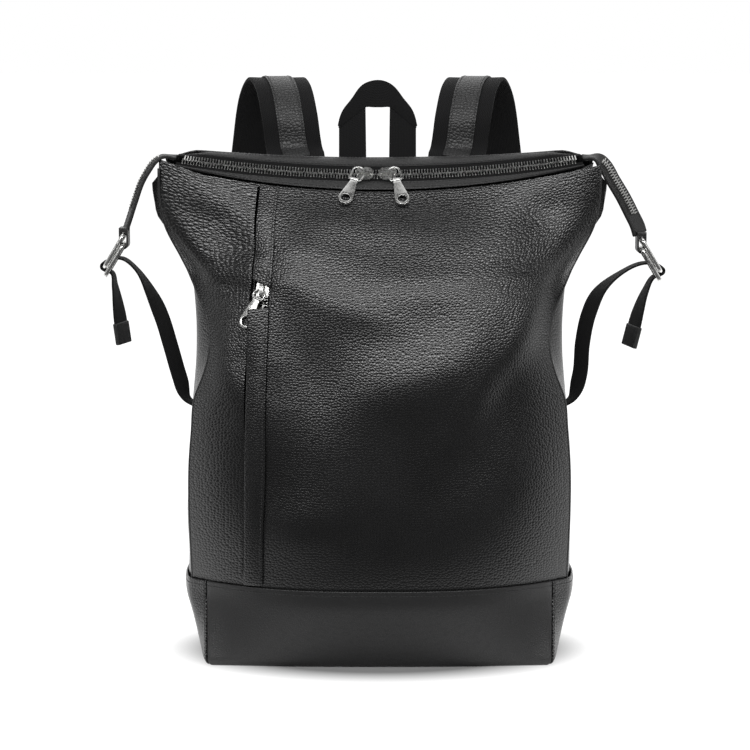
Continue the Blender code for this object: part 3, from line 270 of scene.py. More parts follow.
# Handle and shoulder straps
HANDLE_LEGS = [[(-36.5, -8), (-11.5, -8), (-12.5, 61.5), (-36.4, 43)],
               [(8.3, -8), (33, -8), (32.9, 43), (9.3, 61.5)]]
HANDLE_LOWER = [(-36.5, 43), (-28.3, 49.5), (-20, 56), (-12.5, 61.5), (-5, 61.5), (2, 61.5), (9.3, 61.5),
                (17, 55.8), (25.1, 49.3), (33, 43)]
HANDLE_UPPER = [(-36.5, 45), (-35.6, 52), (-32.8, 59), (-25.5, 68.5), (-15.5, 81.5), (-6, 85.5), (3, 85.5),
                (12, 81.2), (22, 69), (29.3, 59.5), (32.1, 52), (33, 45)]
HANDLE_BASE = Vector((0, 28.5 * MM, 427.5 * MM))
HANDLE_LEAN = math.radians(-6)
HANDLE_THICKNESS = 2.6 * MM
HANDLE_PUFF = 0.5 * MM
HANDLE_LAP = 2.5
HANDLE_ROOT_X = (-36.5, 33)
HANDLE_ROOT_STAND_OFF = 3.2 * MM
HANDLE_ROOT_THICKNESS = 2.4 * MM
HANDLE_ROOT_Z = (396 * MM, 416 * MM)
STRAP_WIDTH = 50 * MM
STRAP_THICKNESS = 3.0 * MM
STRAP_ROUTE = [(75, 27, 452), (79, 30, 480), (85, 48, 505), (93, 74, 513), (103, 101, 496), (111, 121, 450),
               (118, 131, 385), (125, 131, 300), (129, 124, 230), (130.5, 118.5, 197)]
STRAP_FOOT_Z = 388 * MM
STRAP_FOOT_X = 73 * MM
STRAP_STAND_OFF = 2.6 * MM
STRAP_SHIFT = {"left": -1.5 * MM, "right": -4 * MM}
STRAP_LEAN = -0.12
STRAP_TURN = (0.12, 0.3)
STRIP_START = 0.115
STRIP_END = 0.965
STRIP_STITCH_INSET = 2.0 * MM
STRIP_WIDTH = 24 * MM
STRIP_THICKNESS = 1.5 * MM
LINKING_RING_WIRE = 2.0 * MM
LINKING_RING_PLAY = 0.4 * MM
LINKING_RING_HALF_WIDTH = 28 * MM
LINKING_RING_LENGTH = 16 * MM
LINKING_RING_CORNER = 3 * MM
STRAP_WRAP_WIDTH = 45 * MM
WRAP_THICKNESS = 1.4 * MM
WRAP_STAND_OFF = 1.1 * MM
WRAP_LENGTH = 9 * MM
LOWER_PLAY = 1.2 * MM
LOWER_WIDTH = 25 * MM
LOWER_MIDDLE = Vector((132.5, 97, 134)) * MM
TAB_Z = (95 * MM, 76 * MM)
TAB_X = 133 * MM
TAB_WIDTH = 33 * MM
TAB_THICKNESS = 5 * MM
TAB_STAND_OFF = 4.2 * MM
TAB_STITCH_INSET = 3 * MM
YOKE_HALF_WIDTH = 104 * MM
YOKE_Z = (384 * MM, 410 * MM)
YOKE_STAND_OFF = 8.4 * MM

# Stitches
STITCH_PITCH = 3.2 * MM
STITCH_SIZE = (1.25 * MM, 0.55 * MM, 0.42 * MM)

# Finishes
LEATHER_GLOSS = 0.8
GRAIN_WARP_SCALE = 0.33
GRAIN_WARP = 0.3
GRAIN_TURN = math.radians(14)
PEBBLE_RANDOMNESS = 0.85
PEBBLE_DOME = (0.05, 0.8)
PEBBLE_CREASE = (0.0, 0.27)
CREASE_DEPTH = 0.6
PORE_SCALE = 3.1
PORE_DEPTH = 0.12
SLOW_SHADE_SCALE = 14
WAVES_PER_PITCH = 0.314
WEAVE_UNEVENNESS = 0.25
PICK_DEPTH = 0.7
WEBBING_SHEEN = 0.05
WEBBING_GLOSS = 0.2
WEAR_SCALE = 420
WEAR_REACH = (0.3, 0.7)

# Camera and light
CAMERA_TARGET = Vector((-4 * MM, 0, 250.5 * MM))
CAMERA_ELEVATION = math.radians(8)
CAMERA_DISTANCE = 2.2
CAMERA_LENS = 117.5
LAMPS = [("key", (0.0, -1.99, 1.74), (4.2, 0.45), 57, (0, 0, 0.33)),
         ("top", (0.0, 0.6, 2.4), (2.4, 1.5), 13, (0, 0.0, 0.3)),
         ("side_left", (-2.1, -0.5, 0.8), (0.6, 1.6), 3, (0, 0, 0.28)),
         ("side_right", (2.1, -0.3, 0.8), (0.6, 1.6), 4, (0, 0, 0.28)),
         ("behind", (0.0, 2.2, 1.6), (2.4, 1.4), 10, (0, 0, 0.3))]
BACKDROP_REACH = (0.1, 0.75)
BACKDROP_GLOW = (0.025, 0.6)
# The floor is white all round but for an oval under the bag, where its glow is off as a painted shadow, and
# reflections see it from FLOOR_SHEET_Y back
FLOOR_HALF_SIZE = 30
FLOOR_GREY = 0.4
FLOOR_DIM_GREY = 0.1
PAINTED_SHADOW_OVAL = (0.155, 0.1, 1)
FLOOR_GLOW = (0.0, 1.0)
PAINTED_SHADOW_EDGE = (0.9, 1.32)
FLOOR_SHEET_Y = (-0.2, -0.1)

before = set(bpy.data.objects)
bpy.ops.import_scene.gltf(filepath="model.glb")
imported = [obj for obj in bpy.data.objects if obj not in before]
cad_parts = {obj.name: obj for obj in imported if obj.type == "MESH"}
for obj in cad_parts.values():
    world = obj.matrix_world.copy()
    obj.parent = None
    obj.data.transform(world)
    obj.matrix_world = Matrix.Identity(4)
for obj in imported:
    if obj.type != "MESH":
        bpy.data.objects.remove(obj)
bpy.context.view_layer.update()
SCENE = bpy.context.scene.collection


# Small helpers
def smoothstep(low, high, value):
    t = min(max((value - low) / (high - low), 0), 1)
    return t * t * (3 - 2 * t)


def spread(low, high, count):
    return [low + (high - low) * i / (count - 1) for i in range(count)]


def smooth_through(knots):
    """A smooth function through (place, value) knots."""
    places = [knot[0] for knot in knots]
    values = [knot[1] for knot in knots]
    steps = [(b - a) for a, b in zip(places, places[1:])]
    slopes = [(b - a) / step for a, b, step in zip(values, values[1:], steps)]
    tangents = [slopes[0]]
    tangents += [0.5 * (a + b) for a, b in zip(slopes, slopes[1:])]
    tangents.append(slopes[-1])

    def value(place):
        place = min(max(place, places[0]), places[-1])
        cell = 0
        while cell < len(steps) - 1 and place > places[cell + 1]:
            cell += 1
        t = (place - places[cell]) / steps[cell]
        a = values[cell]
        b = values[cell + 1]
        rise_a = tangents[cell] * steps[cell]
        rise_b = tangents[cell + 1] * steps[cell]
        return (a * (2 * t**3 - 3 * t**2 + 1) + rise_a * (t**3 - 2 * t**2 + t)
                + b * (3 * t**2 - 2 * t**3) + rise_b * (t**3 - t**2))

    return value


def in_metres(knots):
    return smooth_through([(place * MM, size * MM) for place, size in knots])


def curve_through(points):
    """A smooth curve through points, as a function of a part from 0 to 1."""
    distance = [0.0]
    for a, b in zip(points, points[1:]):
        distance.append(distance[-1] + (b - a).length)
    axes = [smooth_through(list(zip(distance, [p[axis] for p in points]))) for axis in range(3)]
    return lambda part: Vector([axis(part * distance[-1]) for axis in axes])


def along(points, count):
    curve = curve_through(points)
    return [curve(part) for part in spread(0, 1, count)]


def millimetres(points):
    return [Vector(point) * MM for point in points]


def frame_matrix(origin, x, y, z):
    matrix = Matrix((x, y, z)).transposed().to_4x4()
    matrix.translation = origin
    return matrix


def square_to(direction, axis):
    """The part of a direction that stands square to an axis."""
    return (direction - axis * direction.dot(axis)).normalized()


def facing(normal, outward):
    return normal if normal.dot(outward) > 0 else -normal


def heading(points, place):
    """The way a line of points runs at one of them."""
    return points[min(place + 1, len(points) - 1)] - points[max(place - 1, 0)]


def arc(centre, radius, start, end, count):
    angles = [math.radians(a) for a in spread(start, end, count)]
    return [(centre[0] + radius * math.cos(a), centre[1] + radius * math.sin(a)) for a in angles]


# Surfaces of the bag
ZIP_UP = Vector((0, math.cos(ZIP_TILT), math.sin(ZIP_TILT)))
ZIP_OUT = X_AXIS.cross(ZIP_UP)
ZIP_CENTRE = ZIP_MIDDLE + ZIP_UP * ZIP_RADIUS
front_half_width = in_metres(FRONT_HALF_WIDTH)
back_half_width = in_metres(BACK_HALF_WIDTH)
back_middle_y = in_metres(BACK_MIDDLE_Y)
back_edge_y = in_metres(BACK_EDGE_Y)
gusset_x = in_metres(GUSSET_X)
base_share = smooth_through(BASE_SHARE)


def zip_point(angle, inward, lift=0.0):
    """A point of the zip's plane: inward is measured from the chain towards the back."""
    radius = ZIP_RADIUS - inward
    flat = X_AXIS * math.sin(angle) - ZIP_UP * math.cos(angle)
    return ZIP_CENTRE + flat * radius + ZIP_OUT * lift


def zip_frame(angle):
    along_zip = X_AXIS * math.cos(angle) + ZIP_UP * math.sin(angle)
    across_zip = ZIP_UP * math.cos(angle) - X_AXIS * math.sin(angle)
    return frame_matrix(zip_point(angle, 0), along_zip, across_zip, ZIP_OUT)


def swell(sizes, u):
    return sizes[0] + sizes[1] * (1 - min(u * u, 1))


def end_fold(u):
    return BACK_END_FOLD * smoothstep(BACK_END_START, 1, abs(u))


def behind_chain(angle, reach, fold, lift):
    """A point behind the chain on a plane folded down along it."""
    inward = reach * math.cos(fold) + lift * math.sin(fold)
    return zip_point(angle, inward, lift * math.cos(fold) - reach * math.sin(fold))


def front_middle_y(z):
    return FRONT_Y + FRONT_RADIUS - math.sqrt(FRONT_RADIUS**2 - (z - FRONT_BULGE_Z) ** 2)


def front_depth(z):
    if z <= FOLD_Z:
        return FRONT_FULLNESS * front_half_width(z) ** FRONT_POWER
    part = (z - FOLD_Z) / (PANEL_TOP_Z - FOLD_Z)
    full = FRONT_FULLNESS * front_half_width(FOLD_Z) ** FRONT_POWER + front_middle_y(FOLD_Z)
    return full + FRONT_EDGE_SLOPE * part - front_middle_y(z)


def front_point(u, z):
    """The front's outer surface without folds; u runs from -1 to 1 across it."""
    y = front_middle_y(z) + front_depth(z) * abs(u) ** FRONT_POWER
    plain = Vector((u * front_half_width(z), y, z))
    if z <= FOLD_Z:
        return plain
    top = front_middle_y(PANEL_TOP_Z) + front_depth(PANEL_TOP_Z) * abs(u) ** FRONT_POWER
    plain_top = Vector((u * front_half_width(PANEL_TOP_Z), top, PANEL_TOP_Z))
    edge = zip_point(u * PANEL_END_ANGLE, -swell(FRONT_MARGIN, u), PANEL_EDGE_LIFT)
    return plain + (edge - plain_top) * smoothstep(FOLD_Z, PANEL_TOP_Z, z)


def back_point(u, z):
    y = back_middle_y(z) - (back_middle_y(z) - back_edge_y(z)) * abs(u) ** BACK_POWER
    plain = Vector((u * back_half_width(z), y, z))
    top = back_middle_y(PANEL_TOP_Z)
    top -= (back_middle_y(PANEL_TOP_Z) - back_edge_y(PANEL_TOP_Z)) * abs(u) ** BACK_POWER
    plain_top = Vector((u * back_half_width(PANEL_TOP_Z), top, PANEL_TOP_Z))
    edge = behind_chain(u * PANEL_END_ANGLE, swell(BACK_MARGIN, u), BACK_FOLD + end_fold(u), PANEL_EDGE_LIFT)
    return plain + (edge - plain_top) * smoothstep(FOLD_Z, PANEL_TOP_Z, z)


def surface_normal(point_at, u, z, outward):
    step = 1e-3
    du = point_at(u + step, z) - point_at(u - step, z)
    dz = point_at(u, z + step) - point_at(u, z - step)
    return facing(du.cross(dz).normalized(), outward)


def front_normal(u, z):
    return surface_normal(front_point, u, z, -Y_AXIS)


def back_normal(u, z):
    return surface_normal(back_point, u, z, Y_AXIS)


def off_front(u, z, reach):
    return front_point(u, z) + front_normal(u, z) * reach


def off_back(u, z, reach):
    return back_point(u, z) + back_normal(u, z) * reach


def track_x(z):
    """The pocket strip's middle at a height."""
    return POCKET_REST[0] + math.tan(POCKET_LEAN) * (z - POCKET_REST[1])


strip_bend = in_metres(STRIP_BEND)


def strip_x(z):
    """The middle of the pocket's leather strip, which bends a little off the zip's line."""
    return track_x(z) + strip_bend(z)


def front_relief(u, z):
    """How far the leather stands out from its plain surface in the folds."""
    x = u * front_half_width(z)
    relief = GENTLE_WAVE * noise.noise(Vector((x * 11, z * 9, 3.7)))
    for middle_x, middle_z, length, width, turn, height in FRONT_SWELLS:
        turn = math.radians(turn)
        across = x / MM - middle_x
        up = z / MM - middle_z
        long_way = (across * math.cos(turn) + up * math.sin(turn)) / length
        short_way = (up * math.cos(turn) - across * math.sin(turn)) / width
        relief += height * MM * math.exp(-(long_way**2) - short_way**2)
    notch = smoothstep(*CALM_Z[:2], z) * (1 - smoothstep(*CALM_Z[2:], z))
    calm = 1 - CALM_SHARE * notch * math.exp(-(((x - track_x(z) + CALM_SHIFT) / CALM_REACH) ** 2))
    edge = 1 - abs(u) ** FOLD_EDGE_POWER
    ends = smoothstep(SEAM_Z, SEAM_Z + FOLD_FOOT_FADE, z)
    ends *= 1 - smoothstep(PANEL_TOP_Z - FOLD_TOP_FADE, PANEL_TOP_Z, z)
    return relief * calm * edge * ends


def front_leather_point(u, z):
    """The front with its folds; its top left corner is drawn up to the zip's end."""
    corner = CORNER_RISE * smoothstep(CORNER_START, 1, -u)
    corner *= smoothstep(PANEL_TOP_Z - CORNER_DROP, PANEL_TOP_Z, z)
    ease = FOLD_EASE[0] * math.exp(-(((z - FOLD_Z) / FOLD_EASE[1]) ** 2))
    ease *= 1 - abs(u) ** FOLD_EDGE_POWER
    eased = 0.5 * (front_point(u, z - ease) + front_point(u, z + ease))
    return eased + front_normal(u, z) * front_relief(u, z) + ZIP_UP * corner


# Materials
def node(tree, kind, **settings):
    made = tree.nodes.new(kind)
    for name, value in settings.items():
        setattr(made, name, value)
    return made


def new_material(name, colour, roughness, metallic=0.0):
    made = bpy.data.materials.new(name)
    made.use_nodes = True
    shader = made.node_tree.nodes["Principled BSDF"]
    shader.inputs["Base Color"].default_value = (*colour, 1)
    shader.inputs["Roughness"].default_value = roughness
    shader.inputs["Metallic"].default_value = metallic
    return made, made.node_tree, shader


def ranged(tree, source, low, high, to_low, to_high, kind="LINEAR"):
    scale = node(tree, "ShaderNodeMapRange", interpolation_type=kind)
    scale.inputs["From Min"].default_value = low
    scale.inputs["From Max"].default_value = high
    scale.inputs["To Min"].default_value = to_low
    scale.inputs["To Max"].default_value = to_high
    tree.links.new(source, scale.inputs["Value"])
    return scale.outputs["Result"]


def tinted(tree, source, dark, light):
    mix = node(tree, "ShaderNodeMix", data_type="RGBA")
    mix.inputs["A"].default_value = (*dark, 1)
    mix.inputs["B"].default_value = (*light, 1)
    tree.links.new(source, mix.inputs["Factor"])
    return mix.outputs["Result"]


def bumped(tree, shader, height, strength, distance):
    bump = node(tree, "ShaderNodeBump")
    bump.inputs["Strength"].default_value = strength
    bump.inputs["Distance"].default_value = distance
    tree.links.new(height, bump.inputs["Height"])
    tree.links.new(bump.outputs["Normal"], shader.inputs["Normal"])


def leather(name, dark, light, grain, stretch, strength, depth, rough, space="Object"):
    """Leather: pebbles from a warped cell pattern, pores between them and slow colour change; the colour is
    also darkened in the creases between pebbles, partly as dirt and partly as painted shade.
    """
    made, tree, shader = new_material(name, light, rough[1])
    shader.inputs["Specular IOR Level"].default_value = LEATHER_GLOSS
    place = node(tree, "ShaderNodeTexCoord").outputs[space]
    flat = space == "UV"
    warp = node(tree, "ShaderNodeTexNoise")
    warp.inputs["Scale"].default_value = grain * GRAIN_WARP_SCALE
    warp.inputs["Detail"].default_value = 2
    tree.links.new(place, warp.inputs["Vector"])
    shift = node(tree, "ShaderNodeVectorMath", operation="SCALE")
    shift.inputs["Scale"].default_value = GRAIN_WARP / grain
    tree.links.new(warp.outputs["Color"], shift.inputs[0])
    moved = node(tree, "ShaderNodeVectorMath", operation="ADD")
    tree.links.new(place, moved.inputs[0])
    tree.links.new(shift.outputs["Vector"], moved.inputs[1])
    mapping = node(tree, "ShaderNodeMapping")
    mapping.inputs["Scale"].default_value = stretch
    mapping.inputs["Rotation"].default_value = (0, 0 if flat else GRAIN_TURN, 0)
    tree.links.new(moved.outputs["Vector"], mapping.inputs["Vector"])
    domes = node(tree, "ShaderNodeTexVoronoi", feature="F1")
    creases = node(tree, "ShaderNodeTexVoronoi", feature="DISTANCE_TO_EDGE")
    for cells in (domes, creases):
        cells.voronoi_dimensions = "2D" if flat else "3D"
        cells.inputs["Randomness"].default_value = PEBBLE_RANDOMNESS
        cells.inputs["Scale"].default_value = grain
        tree.links.new(mapping.outputs["Vector"], cells.inputs["Vector"])
    dome = ranged(tree, domes.outputs["Distance"], *PEBBLE_DOME, 1.0, 0.0, "SMOOTHSTEP")
    top = ranged(tree, creases.outputs["Distance"], *PEBBLE_CREASE, 0.0, 1.0, "SMOOTHSTEP")
    pebble = node(tree, "ShaderNodeMath", operation="MULTIPLY_ADD")
    pebble.inputs[1].default_value = CREASE_DEPTH
    tree.links.new(top, pebble.inputs[0])
    tree.links.new(dome, pebble.inputs[2])
    pores = node(tree, "ShaderNodeTexNoise")
    pores.inputs["Scale"].default_value = grain * PORE_SCALE
    pores.inputs["Detail"].default_value = 3
    tree.links.new(place, pores.inputs["Vector"])
    height = node(tree, "ShaderNodeMath", operation="MULTIPLY_ADD")
    height.inputs[1].default_value = PORE_DEPTH
    tree.links.new(pores.outputs["Fac"], height.inputs[0])
    tree.links.new(pebble.outputs["Value"], height.inputs[2])
    bumped(tree, shader, height.outputs["Value"], strength, depth)
    slow = node(tree, "ShaderNodeTexNoise")
    slow.inputs["Scale"].default_value = SLOW_SHADE_SCALE
    tree.links.new(place, slow.inputs["Vector"])
    # Colour: slow random tone times the crease mask, so the creases darken, partly as dirt and partly as
    # painted shade
    tone_with_crease_dirt_and_shade = node(tree, "ShaderNodeMath", operation="MULTIPLY")
    tree.links.new(slow.outputs["Fac"], tone_with_crease_dirt_and_shade.inputs[0])
    tree.links.new(top, tone_with_crease_dirt_and_shade.inputs[1])
    tree.links.new(tinted(tree, tone_with_crease_dirt_and_shade.outputs["Value"], dark, light), shader.inputs["Base Color"])
    tree.links.new(ranged(tree, top, 0, 1, rough[1], rough[0]), shader.inputs["Roughness"])
    return made


def woven(name, dark, light, rib, pick, strength, depth, rough):
    """Webbing: ribs along its length crossed by the picks of the weave, in UV metres."""
    made, tree, shader = new_material(name, light, rough)
    place = node(tree, "ShaderNodeTexCoord").outputs["UV"]
    waves = []
    for direction, pitch in (("X", rib), ("DIAGONAL", pick)):
        wave = node(tree, "ShaderNodeTexWave", bands_direction=direction)
        wave.inputs["Scale"].default_value = WAVES_PER_PITCH / pitch
        wave.inputs["Distortion"].default_value = WEAVE_UNEVENNESS
        wave.inputs["Detail"].default_value = 1
        tree.links.new(place, wave.inputs["Vector"])
        waves.append(wave.outputs["Fac"])
    height = node(tree, "ShaderNodeMath", operation="MULTIPLY_ADD")
    height.inputs[1].default_value = PICK_DEPTH
    tree.links.new(waves[1], height.inputs[0])
    tree.links.new(waves[0], height.inputs[2])
    bumped(tree, shader, height.outputs["Value"], strength, depth)
    tree.links.new(tinted(tree, height.outputs["Value"], dark, light), shader.inputs["Base Color"])
    shader.inputs["Sheen Weight"].default_value = WEBBING_SHEEN
    shader.inputs["Specular IOR Level"].default_value = WEBBING_GLOSS
    return made


def metal(name, dark, light, rough):
    """Polished plating with faint wear in its gloss."""
    made, tree, shader = new_material(name, light, rough[0], 1.0)
    place = node(tree, "ShaderNodeTexCoord").outputs["Object"]
    wear = node(tree, "ShaderNodeTexNoise")
    wear.inputs["Scale"].default_value = WEAR_SCALE
    wear.inputs["Detail"].default_value = 4
    tree.links.new(place, wear.inputs["Vector"])
    gloss = ranged(tree, wear.outputs["Fac"], *WEAR_REACH, *rough)
    tree.links.new(gloss, shader.inputs["Roughness"])
    tree.links.new(tinted(tree, wear.outputs["Fac"], dark, light), shader.inputs["Base Color"])
    return made


def grey(value, blue=1.04):
    return (value, value, value * blue)


# In each leather the first colour is reached in the creases and in the dark patches of the slow tone; the
# crease darkening is partly dirt and partly painted shade
MATERIALS = {
    "pebbled_leather": leather("pebbled_leather", grey(0.001), grey(0.03), 390, (1, 1.12, 1), 0.2, 0.0009,
                               (0.23, 0.42), "UV"),
    "smooth_leather": leather("smooth_leather", grey(0.006), grey(0.013), 620, (1, 1, 1.15), 0.25, 0.0003,
                              (0.36, 0.6)),
    # The strap strips' leather: pebbled leather made darker and rougher; the darker colour is painted shade
    # that keeps the lamps' highlights down on them
    "shaded_wrap_leather": leather("shaded_wrap_leather", grey(0.001), grey(0.022), 330, (1, 1.12, 1), 0.28, 0.0009,
                            (0.46, 0.6), "UV"),
    "edge_leather": leather("edge_leather", grey(0.003), grey(0.008), 620, (1, 1, 1.15), 0.25, 0.0003,
                            (0.5, 0.7)),
    "webbing": woven("webbing", grey(0.005), grey(0.013), 1.5 * MM, 1.1 * MM, 0.55, 0.0004, 0.85),
    "zip_tape": woven("zip_tape", grey(0.004), grey(0.009), 0.9 * MM, 0.8 * MM, 0.4, 0.0002, 0.9),
    "nickel": metal("nickel", grey(0.7, 0.98), grey(0.82, 0.98), (0.22, 0.34)),
    # The rings' plating: a lighter copy of nickel, painted light that brightens their reflections
    "lit_ring_nickel": metal("lit_ring_nickel", grey(0.86, 0.98), grey(0.93, 0.98), (0.24, 0.36)),
    "lining": leather("lining", grey(0.004), grey(0.009), 1500, (1, 1, 1), 0.2, 0.0002, (0.8, 0.9)),
    "thread": leather("thread", grey(0.012), grey(0.024), 2600, (1, 1, 1), 0.4, 0.0002, (0.5, 0.7)),
}


def add_piece(name, mesh, stuff, body="bag", nodes=()):
    """A finished piece: it rides on a body and stands for the CAD nodes it is named for."""
    item = bpy.data.objects.new(name, mesh)
    SCENE.objects.link(item)
    mesh.materials.clear()
    mesh.materials.append(MATERIALS[stuff])
    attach(item, body)
    if nodes:
        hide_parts(*nodes)
    return item


def grid_mesh(name, rows, closed=False, skip=None):
    """Quads through rows of points, with UVs in metres along and across the rows."""
    mesh = bpy.data.meshes.new(name)
    width = len(rows[0])
    cells = width if closed else width - 1
    faces = []
    for i in range(len(rows) - 1):
        for j in range(cells):
            if skip is None or not skip(i, j):
                k = (j + 1) % width
                faces.append((i * width + j, i * width + k, (i + 1) * width + k, (i + 1) * width + j))
    mesh.from_pydata([tuple(p) for row in rows for p in row], [], faces)
    lengths = [0.0]
    middle = width // 2
    for a, b in zip(rows, rows[1:]):
        lengths.append(lengths[-1] + (b[middle] - a[middle]).length)
    widths = [0.0]
    for a, b in zip(rows[len(rows) // 2], rows[len(rows) // 2][1:]):
        widths.append(widths[-1] + (b - a).length)
    layer = mesh.uv_layers.new(name="UVMap")
    for loop in mesh.loops:
        i, j = divmod(loop.vertex_index, width)
        layer.data[loop.index].uv = (widths[j], lengths[i])
    mesh.shade_smooth()
    return mesh


def thickened(mesh, thickness, offset, bevel):
    """Gives a sheet its thickness and round edges, as a plain mesh."""
    item = bpy.data.objects.new("made", mesh)
    SCENE.objects.link(item)
    wall = item.modifiers.new("thickness", "SOLIDIFY")
    wall.thickness = thickness
    wall.offset = offset
    if bevel:
        edge = item.modifiers.new("round", "BEVEL")
        edge.width = bevel
        edge.segments = 3
        edge.limit_method = "ANGLE"
        edge.angle_limit = math.radians(50)
    return baked(item)


def baked(item):
    """The object's evaluated shape as a plain mesh; the object is dropped."""
    depsgraph = bpy.context.evaluated_depsgraph_get()
    mesh = bpy.data.meshes.new_from_object(item.evaluated_get(depsgraph))
    bpy.data.objects.remove(item, do_unlink=True)
    mesh.shade_smooth()
    return mesh


def skin(name, rows, thickness, offset, stuff, nodes=(), bevel=0.4 * MM, skip=None):
    """A sheet through rows of points, with its thickness, as a piece of the bag."""
    mesh = thickened(grid_mesh(name, rows, skip=skip), thickness, offset, bevel)
    mesh.name = name
    add_piece(name, mesh, stuff, nodes=nodes)


def ribbon_rows(centres, across, width, count):
    """Rows of points of a strip of even width."""
    rows = []
    last = len(centres) - 1
    for place, point in enumerate(centres):
        side = square_to(across(place / last), heading(centres, place).normalized())
        rows.append([point + side * width * s for s in spread(-0.5, 0.5, count)])
    return rows


def ribbon(name, centres, across, width, thickness, nodes, bevel=0.45 * MM, count=5):
    """A strap of webbing along a line of points."""
    skin(name, ribbon_rows(centres, across, width, count), thickness, 0, "webbing", nodes, bevel=bevel)


def tube_mesh(name, points, radius, sides=14, closed=True):
    """A round wire along points, carried along without twisting."""
    count = len(points)
    tangents = []
    for i in range(count):
        before = points[i - 1] if closed or i > 0 else points[0]
        after = points[(i + 1) % count] if closed or i < count - 1 else points[-1]
        tangents.append((after - before).normalized())
    normal = tangents[0].orthogonal().normalized()
    rows = []
    for point, tangent in zip(points, tangents):
        normal = square_to(normal, tangent)
        side = tangent.cross(normal)
        turns = [2 * math.pi * k / sides for k in range(sides)]
        rows.append([point + (normal * math.cos(t) + side * math.sin(t)) * radius for t in turns])
    if closed:
        offsets = [(rows[0][k] - rows[-1][0]).length for k in range(sides)]
        shift = offsets.index(min(offsets))
        rows.append(rows[0][shift:] + rows[0][:shift])
    mesh = grid_mesh(name, rows, closed=True)
    shape = bmesh.new()
    shape.from_mesh(mesh)
    if closed:
        bmesh.ops.remove_doubles(shape, verts=shape.verts, dist=1e-6)
    else:
        bmesh.ops.holes_fill(shape, edges=shape.edges)
    bmesh.ops.recalc_face_normals(shape, faces=shape.faces)
    shape.to_mesh(mesh)
    shape.free()
    mesh.shade_smooth()
    return mesh


def outline_mesh(name, loops, thickness, bevel):
    """A flat plate from an outline and its holes, with rounded edges."""
    curve = bpy.data.curves.new(name, "CURVE")
    curve.dimensions = "2D"
    curve.fill_mode = "BOTH"
    curve.extrude = thickness / 2 - bevel
    curve.bevel_depth = bevel
    curve.bevel_resolution = 2
    curve.offset = -bevel
    for loop in loops:
        spline = curve.splines.new("POLY")
        spline.points.add(len(loop) - 1)
        for slot, (x, y) in zip(spline.points, loop):
            slot.co = (x, y, 0, 1)
        spline.use_cyclic_u = True
    item = bpy.data.objects.new(name, curve)
    SCENE.objects.link(item)
    mesh = baked(item)
    shape = bmesh.new()
    shape.from_mesh(mesh)
    bmesh.ops.remove_doubles(shape, verts=shape.verts, dist=1e-6)
    shape.to_mesh(mesh)
    shape.free()
    return mesh


def smooth_by_angle(mesh, degrees):
    mesh.shade_smooth()
    mesh.set_sharp_from_angle(angle=math.radians(degrees))
    return mesh


def joined(name, meshes):
    """Several meshes as one, each with its matrix."""
    shape = bmesh.new()
    for mesh, matrix in meshes:
        copy = mesh.copy()
        copy.transform(matrix)
        shape.from_mesh(copy)
        bpy.data.meshes.remove(copy)
    mesh = bpy.data.meshes.new(name)
    shape.to_mesh(mesh)
    shape.free()
    return mesh


def moved(mesh, matrix):
    mesh.transform(matrix)
    return mesh


# Things that repeat
def placing_tree():
    """Puts a copy of an item at each point, turned by the point's own directions."""
    tree = bpy.data.node_groups.new("place_in_rows", "GeometryNodeTree")
    sockets = tree.interface
    sockets.new_socket("Places", in_out="INPUT", socket_type="NodeSocketGeometry")
    sockets.new_socket("Item", in_out="INPUT", socket_type="NodeSocketObject")
    sockets.new_socket("Finish", in_out="INPUT", socket_type="NodeSocketMaterial")
    sockets.new_socket("Rows", in_out="OUTPUT", socket_type="NodeSocketGeometry")
    start = node(tree, "NodeGroupInput")
    end = node(tree, "NodeGroupOutput")
    ahead = node(tree, "GeometryNodeInputNamedAttribute", data_type="FLOAT_VECTOR")
    ahead.inputs["Name"].default_value = "ahead"
    outward = node(tree, "GeometryNodeInputNamedAttribute", data_type="FLOAT_VECTOR")
    outward.inputs["Name"].default_value = "outward"
    stand = node(tree, "FunctionNodeAlignRotationToVector", axis="Z")
    turn = node(tree, "FunctionNodeAlignRotationToVector", axis="X", pivot_axis="Z")
    info = node(tree, "GeometryNodeObjectInfo")
    copies = node(tree, "GeometryNodeInstanceOnPoints")
    real = node(tree, "GeometryNodeRealizeInstances")
    paint = node(tree, "GeometryNodeSetMaterial")
    link = tree.links.new
    link(outward.outputs["Attribute"], stand.inputs["Vector"])
    link(stand.outputs["Rotation"], turn.inputs["Rotation"])
    link(ahead.outputs["Attribute"], turn.inputs["Vector"])
    link(start.outputs["Places"], copies.inputs["Points"])
    link(start.outputs["Item"], info.inputs["Object"])
    link(info.outputs["Geometry"], copies.inputs["Instance"])
    link(turn.outputs["Rotation"], copies.inputs["Rotation"])
    link(copies.outputs["Instances"], real.inputs["Geometry"])
    link(real.outputs["Geometry"], paint.inputs["Geometry"])
    link(start.outputs["Finish"], paint.inputs["Material"])
    link(paint.outputs["Geometry"], end.inputs["Rows"])
    return tree


PLACING = placing_tree()
INPUTS = {item.name: item.identifier for item in PLACING.interface.items_tree if item.in_out == "INPUT"}


